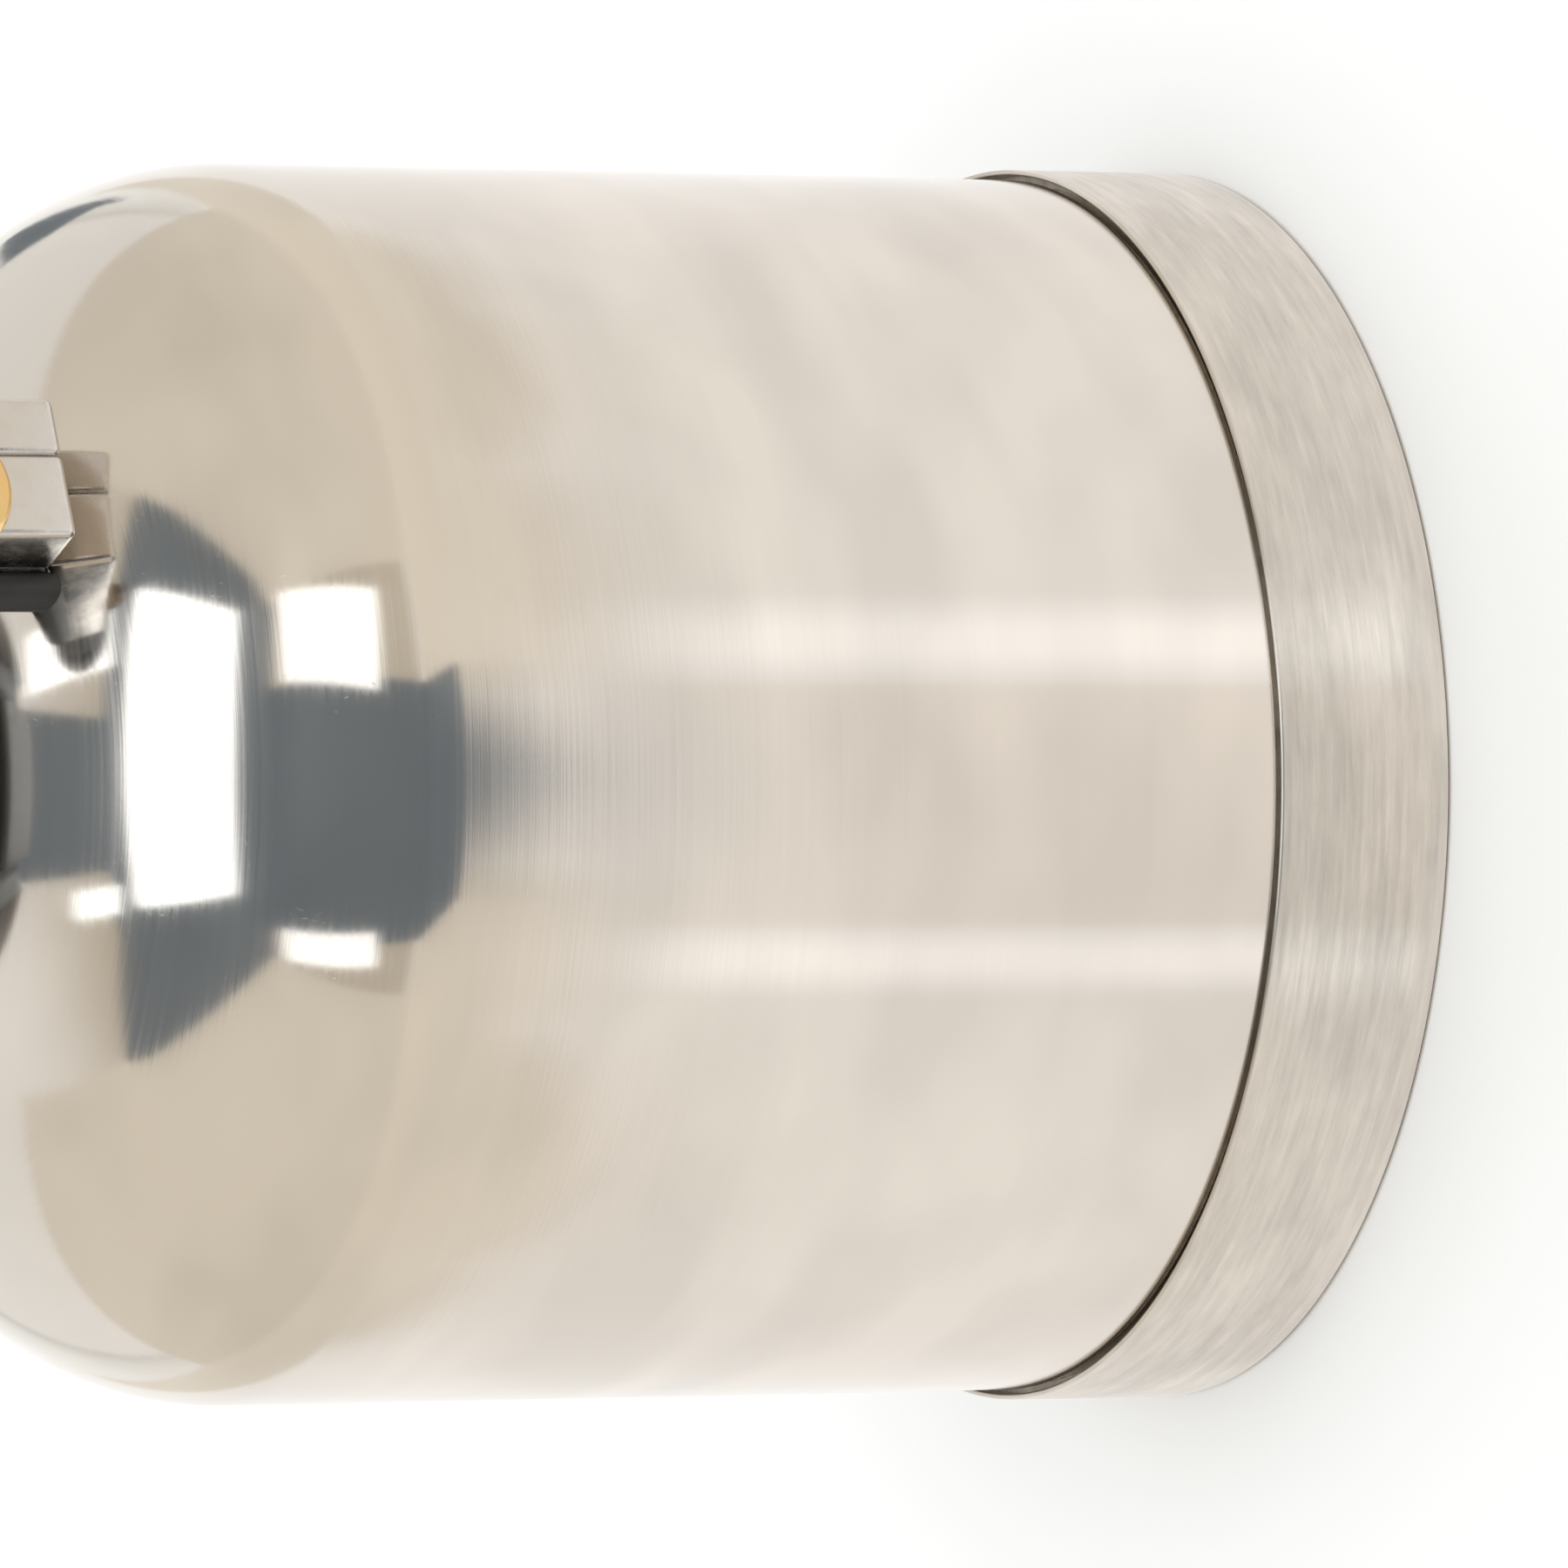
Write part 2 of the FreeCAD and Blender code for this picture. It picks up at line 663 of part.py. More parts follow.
def keys(width, reach, low, high):
    half = width / 2
    flat = box(REG_X - reach, REG_X + reach, REG_Y - half, REG_Y + half, low, high)
    return flat


def regulator_bonnet():
    top = BLOCK_TOP_Z + BONNET_H
    room = BONNET_R - BONNET_T
    bonnet = rod(BONNET_R, BLOCK_TOP_Z, top, REG_X, REG_Y)
    bonnet = bonnet.cut(rod(room, BLOCK_TOP_Z, BLOCK_TOP_Z + DIAPHRAGM_ROOM, REG_X, REG_Y))
    bonnet = bonnet.cut(rod(SEAT_R + RUN, BLOCK_TOP_Z, top - BONNET_T, REG_X, REG_Y))
    slot = keys(KEY_W + 2 * RUN, SEAT_R + KEY_OUT + RUN, BLOCK_TOP_Z, top - BONNET_T)
    bonnet = bonnet.cut(slot)
    return on_block(bonnet.cut(rod(SCREW_ROD_R + RUN, BLOCK_TOP_Z, top, REG_X, REG_Y)))


def spring_seat():
    seat = rod(SEAT_R, SEAT_Z, SEAT_Z + SEAT_T, REG_X, REG_Y)
    seat = joined(seat, keys(KEY_W, SEAT_R + KEY_OUT, SEAT_Z, SEAT_Z + SEAT_T))
    return on_block(seat.cut(rod(SCREW_ROD_R + RUN, SEAT_Z, SEAT_Z + SEAT_T, REG_X, REG_Y)))


def regulator_knob():
    top = BLOCK_TOP_Z + BONNET_H
    knob = rod(KNOB_R, top + RUN, top + KNOB_H, REG_X, REG_Y)
    knob = knob.makeFillet(EDGE, [e for e in knob.Edges if e.BoundBox.ZMin > top + KNOB_H - EDGE])
    for k in range(KNOB_RIBS):
        angle = 2 * math.pi * k / KNOB_RIBS
        x = REG_X + KNOB_R * math.cos(angle)
        y = REG_Y + KNOB_R * math.sin(angle)
        knob = knob.cut(rod(KNOB_RIB_R, top, top + KNOB_H, x, y))
    screw = rod(SCREW_ROD_R, SEAT_Z - SEAT_T, top + 1, REG_X, REG_Y)
    collar = rod(COLLAR_R, top - BONNET_T - RUN - COLLAR_T, top - BONNET_T - RUN, REG_X, REG_Y)
    return on_block(joined(knob, screw, collar))


def coil(radius, wire, turns, low, high, x, y):
    """A round-wire compression spring standing between two heights."""
    rise = high - low - 2 * wire
    spine = Part.Wire(Part.makeHelix(rise / turns, rise, radius))
    spine.translate(Vector(x, y, low + wire))
    section = Part.Wire(Part.makeCircle(wire, Vector(x + radius, y, low + wire), Vector(0, 1, 0)))
    return spine.makePipeShell([section], True, True)


def range_spring():
    low = BLOCK_TOP_Z + DIAPHRAGM_T
    return on_block(coil(RANGE_SPRING_R, RANGE_WIRE_R, RANGE_TURNS, low, SEAT_Z, REG_X, REG_Y))


def boss(bore, x, y):
    stand = tube(bore, BOSS_R, KNUCKLE_Z, BOSS_TOP_Z, x, y)
    stand = stand.cut(box(-BODY_R, BODY_R, -BODY_R, BODY_R, 0, KNUCKLE_Z + BOSS_R))
    return stand.cut(dome_solid(FIT))


def outlet_boss():
    return boss(DIP_R + FIT, OUTLET_X, OUTLET_Y)


def relief_boss():
    return boss(RELIEF_PORT_R, RELIEF_X, RELIEF_Y)


def dip_tube():
    return tube(DIP_R - DIP_T, DIP_R, DIP_LOW_Z, BOSS_TOP_Z, OUTLET_X, OUTLET_Y)


def valve_frame(shape):
    """Place a valve piece built about the valve's axis at x = y = 0, stem along +X."""
    moved = shape.copy()
    turn = math.degrees(math.atan2(OUTWARD.y, OUTWARD.x))
    moved.Placement = Placement(Vector(OUTLET_X, OUTLET_Y, 0), Rotation(UP, turn)).multiply(shape.Placement)
    return moved


def along_stem(radius, start, end):
    return Part.makeCylinder(radius, end - start, Vector(start, 0, BALL_Z), Vector(1, 0, 0))


def stem_hex(across_flats, start, end):
    return aimed(hexagon(across_flats, 0, end - start), Vector(start, 0, BALL_Z), Vector(1, 0, 0))


def valve_body():
    half = VALVE_SQ / 2
    body = box(-half, half, -half, half, BOSS_TOP_Z, VALVE_TOP_Z)
    body = body.makeChamfer(EDGE, body.Edges)
    body = body.cut(rod(CAVITY_R, CAVITY_Z, VALVE_TOP_Z))
    body = body.cut(rod(PORT_R, BOSS_TOP_Z, CAVITY_Z))
    return valve_frame(body.cut(along_stem(STEM_ROD_R + RUN, 0, half)))


def seat_rings():
    ball = Part.makeSphere(BALL_R + RUN, Vector(0, 0, BALL_Z))
    rings = []
    for low in (CAVITY_Z, 2 * BALL_Z - CAVITY_Z - SEAT_RING_H):
        ring = tube(SEAT_RING_R, CAVITY_R - FIT, low, low + SEAT_RING_H)
        rings.append(valve_frame(ring.cut(ball)))
    return Part.makeCompound(rings)


def valve_ball():
    ball = Part.makeSphere(BALL_R, Vector(0, 0, BALL_Z))
    ball = ball.cut(rod(PORT_R, BALL_Z - BALL_R, BALL_Z + BALL_R))
    return valve_frame(ball.cut(along_stem(STEM_ROD_R + FIT, BALL_R - STEM_HOLE, BALL_R)))


def valve_stem():
    end = VALVE_SQ / 2 + GLAND_T + LEVER_T + LEVER_NUT_T + RUN
    return valve_frame(along_stem(STEM_ROD_R, BALL_R - STEM_HOLE, end))


def gland_nut():
    start = VALVE_SQ / 2
    nut = stem_hex(GLAND_AF, start, start + GLAND_T)
    return valve_frame(nut.cut(along_stem(STEM_ROD_R + RUN, start, start + GLAND_T)))


def lever_arm():
    start = VALVE_SQ / 2 + GLAND_T + RUN
    half = LEVER_W / 2
    arm = box(start, start + LEVER_T, -half, half, BALL_Z, BALL_Z + LEVER_L)
    hub = along_stem(LEVER_HUB_R, start, start + LEVER_T)
    return joined(arm, hub).cut(along_stem(STEM_ROD_R + FIT, start, start + LEVER_T))


def valve_lever():
    return valve_frame(lever_arm())


def lever_nut():
    start = VALVE_SQ / 2 + GLAND_T + LEVER_T + RUN
    nut = stem_hex(LEVER_NUT_AF, start, start + LEVER_NUT_T)
    return valve_frame(nut.cut(along_stem(STEM_ROD_R + FIT, start, start + LEVER_NUT_T)))


def lever_grip():
    middle = VALVE_SQ / 2 + GLAND_T + RUN + LEVER_T / 2
    half = GRIP_SLEEVE_W / 2
    thick = GRIP_SLEEVE_T / 2
    top = BALL_Z + LEVER_L + EDGE
    sleeve = box(middle - thick, middle + thick, -half, half, top - GRIP_SLEEVE_L, top)
    upright = [e for e in sleeve.Edges if e.BoundBox.ZLength > GRIP_SLEEVE_L / 2]
    return valve_frame(sleeve.makeFillet(EDGE, upright).cut(lever_arm()))


def outlet_barb():
    low = VALVE_TOP_Z
    base = low + CAP_T
    points = [(BARB_BORE_R, low), (BARB_R, low), (BARB_R, base)]
    step = BARB_L / BARB_RINGS
    for k in range(BARB_RINGS):
        points.append((BARB_R, base + k * step + step / 4))
        points.append((BARB_R + BARB_RISE, base + k * step + step / 4))
        points.append((BARB_R, base + k * step + step))
    points.append((BARB_BORE_R, base + BARB_L))
    spigot = rod(CAVITY_R - FIT, 2 * BALL_Z - CAVITY_Z, low)
    head = joined(turned(points), hexagon(CAP_AF, low, base), spigot)
    return valve_frame(head.cut(rod(BARB_BORE_R, BOSS_TOP_Z, base + BARB_L)))


def relief_body():
    body = joined(
        rod(RELIEF_R, BOSS_TOP_Z, RELIEF_TOP_Z, RELIEF_X, RELIEF_Y),
        hexagon(2 * RELIEF_R + 2, BOSS_TOP_Z, RELIEF_SEAT_Z, RELIEF_X, RELIEF_Y),
    )
    body = body.cut(rod(RELIEF_PORT_R, BOSS_TOP_Z, RELIEF_SEAT_Z, RELIEF_X, RELIEF_Y))
    body = body.cut(rod(RELIEF_ROOM_R, RELIEF_SEAT_Z, RELIEF_TOP_Z, RELIEF_X, RELIEF_Y))
    start = Vector(RELIEF_X - RELIEF_R, RELIEF_Y, RELIEF_SEAT_Z + 2 * POPPET_T)
    return body.cut(along(EYE_R, start, Vector(2 * RELIEF_R, 0, 0)))


def relief_cap():
    low = RELIEF_TOP_Z - RELIEF_CAP_T
    cap = joined(
        rod(RELIEF_ROOM_R - FIT, low, RELIEF_TOP_Z, RELIEF_X, RELIEF_Y),
        rod(RELIEF_R - EDGE, RELIEF_TOP_Z, RELIEF_TOP_Z + EDGE, RELIEF_X, RELIEF_Y),
    )
    return cap.cut(rod(POPPET_STEM_R + RUN, low, RELIEF_TOP_Z + EDGE, RELIEF_X, RELIEF_Y))


def relief_poppet():
    poppet = joined(
        rod(POPPET_R, RELIEF_SEAT_Z, RELIEF_SEAT_Z + POPPET_T, RELIEF_X, RELIEF_Y),
        rod(POPPET_STEM_R, RELIEF_SEAT_Z, POPPET_TOP_Z, RELIEF_X, RELIEF_Y),
    )
    start = Vector(RELIEF_X - POPPET_R, RELIEF_Y, EYE_Z)
    return poppet.cut(Part.makeCylinder(EYE_R, 2 * POPPET_R, start, Vector(1, 0, 0)))


def relief_spring():
    low = RELIEF_SEAT_Z + POPPET_T
    high = RELIEF_TOP_Z - RELIEF_CAP_T
    return coil(RELIEF_SPRING_R, RELIEF_WIRE_R, RELIEF_TURNS, low, high, RELIEF_X, RELIEF_Y)


def pull_ring():
    ring = Part.makeTorus(PULL_R, PULL_WIRE_R, Vector(0, PULL_R, 0), UP)
    moved = ring.copy()
    eye = Vector(RELIEF_X, RELIEF_Y, EYE_Z)
    moved.Placement = Placement(eye, Rotation(Vector(1, 0, 0), -PULL_DROOP)).multiply(ring.Placement)
    return moved


NODES = [
    tank_shell, bottom_head, foot_skirt, skirt_weld, neck_collar, lid_gasket, lid_plate, lock_ring,
    lid_handle, handle_grip, gauge_stem, gauge_case, gauge_bezel, gauge_lens, gauge_dial,
    gauge_needle, gauge_movement, air_manifold, manifold_bracket, bracket_screws, air_elbow,
    inlet_port, check_poppet, diaphragm, regulator_bonnet, spring_seat, regulator_knob,
    range_spring, outlet_boss, relief_boss, dip_tube, valve_body, seat_rings, valve_ball,
    valve_stem, gland_nut, valve_lever, lever_nut, lever_grip, outlet_barb, relief_body,
    relief_cap, relief_poppet, relief_spring, pull_ring,
]

os.makedirs("parts", exist_ok=True)
for make in NODES:
    make().exportStep("parts/" + make.__name__ + ".step")
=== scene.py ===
"""Resin pressure pot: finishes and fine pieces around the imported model, as a sidebar add-on."""

from math import acos, cos, pi, radians, sin

import bmesh
import bpy
from bpy.props import FloatProperty, FloatVectorProperty, IntProperty, PointerProperty
from mathutils import Matrix, Vector


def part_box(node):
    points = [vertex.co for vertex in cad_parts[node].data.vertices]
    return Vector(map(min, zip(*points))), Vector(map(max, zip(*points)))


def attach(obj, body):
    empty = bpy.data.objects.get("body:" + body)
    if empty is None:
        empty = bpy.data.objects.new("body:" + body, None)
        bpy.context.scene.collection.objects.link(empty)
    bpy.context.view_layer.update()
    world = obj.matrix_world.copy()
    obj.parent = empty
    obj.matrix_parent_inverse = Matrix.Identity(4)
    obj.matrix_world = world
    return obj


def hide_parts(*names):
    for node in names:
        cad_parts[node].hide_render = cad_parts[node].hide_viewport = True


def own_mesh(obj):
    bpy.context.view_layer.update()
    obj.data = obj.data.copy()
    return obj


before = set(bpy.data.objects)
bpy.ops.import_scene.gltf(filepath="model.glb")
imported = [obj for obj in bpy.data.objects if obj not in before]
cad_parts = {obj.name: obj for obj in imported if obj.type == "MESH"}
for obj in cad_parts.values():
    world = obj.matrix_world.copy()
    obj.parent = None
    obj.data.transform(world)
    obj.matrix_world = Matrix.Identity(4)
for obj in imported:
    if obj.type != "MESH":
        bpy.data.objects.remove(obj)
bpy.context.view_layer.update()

bl_info = {
    "name": "Resin pressure pot",
    "version": (1, 0, 0),
    "blender": (4, 5, 0),
    "location": "View3D > Sidebar > Pressure pot",
    "description": "Builds a stainless pressure pot's finishes and fine pieces on its CAD frame",
    "category": "Object",
}

# Facets round the vessel, round a fitting and round a small pin
ROUND = 256
SMALL_ROUND = 96
PIN_ROUND = 64

# Edges folded by more than this are rounded, and by more than this shade as creases
SHARP_EDGE = radians(40)
CREASE = radians(30)

# The clearance between pieces that fit
FIT = 0.00005


def low(node):
    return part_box(node)[0]


def high(node):
    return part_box(node)[1]


def middle(node):
    return (low(node) + high(node)) / 2


# ---- user settings


def length(name, description, default):
    return FloatProperty(
        name=name, description=description, default=default, min=0.0, subtype="DISTANCE", unit="LENGTH"
    )


def colour(name, description, default):
    return FloatVectorProperty(
        name=name, description=description, default=default, size=3, min=0.0, max=1.0, subtype="COLOR"
    )


def power(name, description, default):
    return FloatProperty(name=name, description=description, default=default, min=0.0, unit="POWER")


class VesselSettings(bpy.types.PropertyGroup):
    body_radius: length("Body radius", "Outside radius of the cylinder", 0.120)
    sheet: length("Sheet", "Thickness of the vessel's sheet", 0.0015)
    knuckle_z: length("Knuckle height", "Height at which the dome starts", 0.2065)
    dome_height: length("Dome height", "Rise of the dome over the knuckle", 0.0824)
    neck_radius: length("Neck radius", "Outside radius of the neck collar", 0.047)
    joggle_radius: length("Joggle radius", "Outside radius of the step under the skirt's lip", 0.1188)
    joggle_z: length("Joggle height", "Height at which the step under the skirt starts", 0.0362)
    skirt_outer: length("Skirt radius", "Outside radius of the foot skirt", 0.1220)
    skirt_sheet: length("Skirt sheet", "Thickness of the skirt", 0.0011)
    steel: colour("Polished steel", "Colour of the polished vessel", (0.720, 0.668, 0.606))
    brushed: colour("Brushed steel", "Colour of the brushed skirt", (0.700, 0.650, 0.585))


class FittingSettings(bpy.types.PropertyGroup):
    thread_pitch: length("Thread pitch", "Rise of the neck thread in one turn", 0.006)
    dial_ticks: IntProperty(
        name="Dial ticks", description="Small marks on the gauge's dial", default=50, min=10, max=100
    )
    dial_top: IntProperty(
        name="Dial top", description="Highest number on the gauge's dial", default=10, min=4, max=20
    )
    nickel: colour("Nickel", "Colour of plated fittings", (0.78, 0.77, 0.74))
    brass: colour("Brass", "Colour of brass fittings", (0.83, 0.58, 0.27))
    grip: colour("Lever grip", "Colour of the outlet lever's grip", (0.42, 0.02, 0.015))


class StageSettings(bpy.types.PropertyGroup):
    view_elevation: FloatProperty(
        name="Camera elevation", description="Angle of the camera above the floor", default=radians(25.742),
        subtype="ANGLE", unit="ROTATION",
    )
    view_distance: length("Camera distance", "From the camera to the point it looks at", 2.7622)
    view_height: length("Aim height", "Height of the point the camera looks at", 0.08355)
    lens: FloatProperty(
        name="Lens", description="Focal length", default=321.7, min=1.0,
        subtype="DISTANCE_CAMERA", unit="CAMERA",
    )
    key_power: power("Key power", "Power of the light over the object", 33.0)
    fill_power: power("Fill power", "Power of the light behind the object", 19.0)
    floor: colour("Floor", "Colour of the floor", (0.90, 0.92, 0.945))


# ---- mesh helpers


def outline_point(bm, r, z):
    return bm.verts.new((r, 0, z))


def line_to(bm, vert, r, z):
    made = outline_point(bm, r, z)
    bm.edges.new((vert, made))
    return made


def bend_to(bm, vert, centre_r, centre_z, angle, steps):
    """Carry an outline round an arc about a centre, positive from outside towards the top."""
    made = bmesh.ops.spin(
        bm, geom=[vert], cent=(centre_r, 0, centre_z), axis=(0, 1, 0), angle=-angle, steps=steps,
        use_duplicate=False,
    )
    return [g for g in made["geom_last"] if isinstance(g, bmesh.types.BMVert)][0]


def chain(bm, outline, closed=True):
    """Join (radius, height) points in order by edges, back to the first if closed."""
    verts = [outline_point(bm, r, z) for r, z in outline]
    after = verts[1:] + verts[:1] if closed else verts[1:]
    for a, b in zip(verts, after):
        bm.edges.new((a, b))


def broken(bm, geom, width, segments, affect):
    """Round the given corners or edges."""
    bmesh.ops.bevel(
        bm, geom=geom, offset=width, offset_type="OFFSET", segments=segments, profile=0.5,
        affect=affect, material=-1, clamp_overlap=True,
    )


def capped(bm):
    """Close what is open and turn the faces outward."""
    bmesh.ops.holes_fill(bm, edges=[e for e in bm.edges if e.is_boundary], sides=0)
    outward(bm)


def outward(bm):
    bmesh.ops.remove_doubles(bm, verts=bm.verts, dist=2e-6)
    bmesh.ops.dissolve_degenerate(bm, dist=1e-6, edges=bm.edges)
    bmesh.ops.recalc_face_normals(bm, faces=bm.faces)
    if bm.calc_volume(signed=True) < 0:
        bmesh.ops.reverse_faces(bm, faces=bm.faces)


def spun(bm, steps):
    geom = bm.verts[:] + bm.edges[:]
    bmesh.ops.spin(bm, geom=geom, cent=(0, 0, 0), axis=(0, 0, 1), angle=2 * pi, steps=steps, use_merge=True)
    outward(bm)
    return bm


def lathe(outline, steps=SMALL_ROUND, soften=0.0):
    """A turned piece from a closed (radius, height) outline, its corners broken if asked."""
    bm = bmesh.new()
    chain(bm, outline)
    if soften:
        broken(bm, bm.verts[:], soften, 2, "VERTICES")
    return spun(bm, steps)


def block(x0, x1, y0, y1, z0, z1):
    bm = bmesh.new()
    bmesh.ops.create_cube(bm, size=1.0)
    bmesh.ops.scale(bm, vec=(x1 - x0, y1 - y0, z1 - z0), verts=bm.verts)
    bmesh.ops.translate(bm, vec=((x0 + x1) / 2, (y0 + y1) / 2, (z0 + z1) / 2), verts=bm.verts)
    return bm


def soften_edges(bm, width, segments=3):
    edges = [e for e in bm.edges if e.is_manifold and e.calc_face_angle(0) > SHARP_EDGE]
    broken(bm, edges, width, segments, "EDGES")
    return bm


def hexagon(across_flats, z0, z1):
    bm = bmesh.new()
    radius = across_flats / 2 / cos(pi / 6)
    bmesh.ops.create_cone(
        bm, cap_ends=True, segments=6, radius1=radius, radius2=radius, depth=z1 - z0,
        matrix=Matrix.Translation((0, 0, (z0 + z1) / 2)),
    )
    return bm


def merged(*parts):
    """Put several closed forms into one mesh."""
    whole = bmesh.new()
    for part in parts:
        held = bpy.data.meshes.new("held")
        part.to_mesh(held)
        part.free()
        whole.from_mesh(held)
        bpy.data.meshes.remove(held)
    return whole


def moved(bm, matrix):
    bmesh.ops.transform(bm, matrix=matrix, verts=bm.verts)
    return bm


def piece(name, bm, body, finish, nodes=()):
    """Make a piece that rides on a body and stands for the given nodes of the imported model."""
    mesh = bpy.data.meshes.new(name)
    bm.to_mesh(mesh)
    bm.free()
    mesh.polygons.foreach_set("use_smooth", [True] * len(mesh.polygons))
    mesh.set_sharp_from_angle(angle=CREASE)
    mesh.materials.append(FINISH[finish])
    obj = bpy.data.objects.new(name, mesh)
    bpy.context.scene.collection.objects.link(obj)
    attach(obj, body)
    if nodes:
        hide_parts(*nodes)
    return obj


def finish_nodes(**finishes):
    """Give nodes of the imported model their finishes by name."""
    for node, finish in finishes.items():
        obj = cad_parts[node]
        if not obj.material_slots:
            obj.data.materials.append(FINISH[finish])
        for held in obj.material_slots:
            held.material = FINISH[finish]


# ---- materials


# A quarter of a turn, as the shader counts it, lays the smear across the brushing
QUARTER_TURN = 0.25


class Shades:
    """A small builder for one procedural material."""

    def __init__(self, name):
        self.material = bpy.data.materials.new(name)
        self.material.use_nodes = True
        self.tree = self.material.node_tree
        self.shader = self.tree.nodes["Principled BSDF"]
        self.place = self.tree.nodes.new("ShaderNodeTexCoord").outputs["Object"]

    def node(self, kind, **values):
        made = self.tree.nodes.new(kind)
        for key, value in values.items():
            if key in made.inputs:
                made.inputs[key].default_value = value
            else:
                setattr(made, key, value)
        return made

    def link(self, output, target):
        self.tree.links.new(output, target)

    def stretched(self, scale):
        mapping = self.node("ShaderNodeMapping")
        mapping.inputs["Scale"].default_value = scale
        self.link(self.place, mapping.inputs["Vector"])
        return mapping.outputs["Vector"]

    def noise(self, scale, detail=3.0, rough=0.55, distortion=0.0):
        made = self.node("ShaderNodeTexNoise", Scale=1.0, Detail=detail, Roughness=rough)
        made.inputs["Distortion"].default_value = distortion
        self.link(self.stretched(scale), made.inputs["Vector"])
        return made.outputs["Fac"]

    def between(self, fac, low_value, high_value, start=0.3, end=0.7):
        made = self.node("ShaderNodeMapRange")
        made.inputs["From Min"].default_value = start
        made.inputs["From Max"].default_value = end
        made.inputs["To Min"].default_value = low_value
        made.inputs["To Max"].default_value = high_value
        self.link(fac, made.inputs["Value"])
        return made.outputs["Result"]

    def blend(self, fac, first, second):
        ramp = self.node("ShaderNodeValToRGB")
        ramp.color_ramp.elements[0].color = (*first, 1)
        ramp.color_ramp.elements[1].color = (*second, 1)
        self.link(fac, ramp.inputs["Fac"])
        return ramp.outputs["Color"]

    def tint(self, fac, base, low_share, high_share, start=0.3, end=0.7):
        first = tuple(c * low_share for c in base)
        second = tuple(min(c * high_share, 1.0) for c in base)
        mixed = self.blend(self.between(fac, 0, 1, start, end), first, second)
        self.link(mixed, self.shader.inputs["Base Color"])

    def rough(self, fac, low_value, high_value, start=0.3, end=0.7):
        self.link(self.between(fac, low_value, high_value, start, end), self.shader.inputs["Roughness"])

    def bump(self, height, strength, distance, under=None):
        """Raise the surface by a share of the distance; the share is a number or another node's output."""
        made = self.node("ShaderNodeBump", Distance=distance)
        if isinstance(strength, bpy.types.NodeSocket):
            self.link(strength, made.inputs["Strength"])
        else:
            made.inputs["Strength"].default_value = strength
        self.link(height, made.inputs["Height"])
        if under is not None:
            self.link(under, made.inputs["Normal"])
        self.link(made.outputs["Normal"], self.shader.inputs["Normal"])
        return made.outputs["Normal"]

    def brushed_round(self, axis):
        """Lay the surface's brushing round an axis."""
        tangent = self.node("ShaderNodeTangent", direction_type="RADIAL", axis=axis)
        self.link(tangent.outputs["Tangent"], self.shader.inputs["Tangent"])

    def add(self, first, second):
        made = self.node("ShaderNodeMath", operation="ADD")
        self.link(first, made.inputs[0])
        self.link(second, made.inputs[1])
        return made.outputs[0]


def metal(name, base, rough, grain, spread, depth=0.00001, strength=0.25, along=None, stretch=0.0):
    """A metal with a worked grain, slow colour drift and, if asked, a brushed sheen round an axis."""
    s = Shades(name)
    s.shader.inputs["Metallic"].default_value = 1.0
    drift = s.noise((18, 18, 18), 2.0)
    s.tint(drift, base, 0.90, 1.06)
    fine = s.noise(grain, 4.0, 0.65)
    s.rough(fine, rough * (1 - spread), rough * (1 + spread))
    s.bump(fine, strength, depth)
    if along:
        s.shader.inputs["Anisotropic"].default_value = stretch
        s.brushed_round(along)
    return s.material


def polished_vessel(base, knuckle):
    """Drawn steel: a polished dome over a cylinder whose fine lines smear reflections upright."""
    s = Shades("polished_vessel")
    s.shader.inputs["Metallic"].default_value = 1.0
    s.shader.inputs["Anisotropic Rotation"].default_value = QUARTER_TURN
    s.brushed_round("Z")
    height = s.node("ShaderNodeSeparateXYZ")
    s.link(s.place, height.inputs["Vector"])
    brushed_below = knuckle - 0.062
    polished_above = knuckle - 0.034
    dome = s.between(height.outputs["Z"], 0.0, 1.0, brushed_below, polished_above)
    s.link(s.between(dome, 0.80, 0.70, 0.0, 1.0), s.shader.inputs["Anisotropic"])
    rings = s.noise((5, 5, 1500), 4.0, 0.7)
    slow = s.between(dome, 0.13, 0.10, 0.0, 1.0)
    s.link(s.add(slow, s.between(rings, -0.02, 0.03)), s.shader.inputs["Roughness"])
    stains = s.noise((6, 6, 24), 2.5, 0.55, 0.5)
    clouds = s.noise((20, 20, 30), 2.0, 0.5)
    s.tint(s.between(s.add(stains, clouds), 0.0, 1.0, 0.78, 1.22), base, 0.90, 1.02, 0.1, 0.9)
    hair = s.noise((500, 500, 70), 2.0, 0.5, 2.6)
    scratch = s.between(hair, 0.0, 1.0, 0.715, 0.74)
    lines = s.bump(rings, s.between(dome, 0.6, 0.35, 0.0, 1.0), 0.00002)
    s.bump(scratch, 0.12, 0.00002, lines)
    return s.material


def brushed_skirt(base):
    """Belt-brushed sheet with a coarse grain running round the skirt."""
    s = Shades("brushed_skirt")
    s.shader.inputs["Metallic"].default_value = 1.0
    s.shader.inputs["Anisotropic"].default_value = 0.75
    s.shader.inputs["Anisotropic Rotation"].default_value = QUARTER_TURN
    s.brushed_round("Z")
    grain = s.noise((22, 22, 1300), 5.0, 0.75)
    streaks = s.noise((45, 45, 520), 4.0, 0.7)
    smudge = s.noise((30, 30, 60), 3.0, 0.6)
    s.tint(s.between(s.add(streaks, smudge), 0.0, 1.0, 0.7, 1.3), base, 0.77, 1.0, 0.1, 0.9)
    s.rough(grain, 0.24, 0.42)
    s.bump(grain, 0.5, 0.00003)
    return s.material


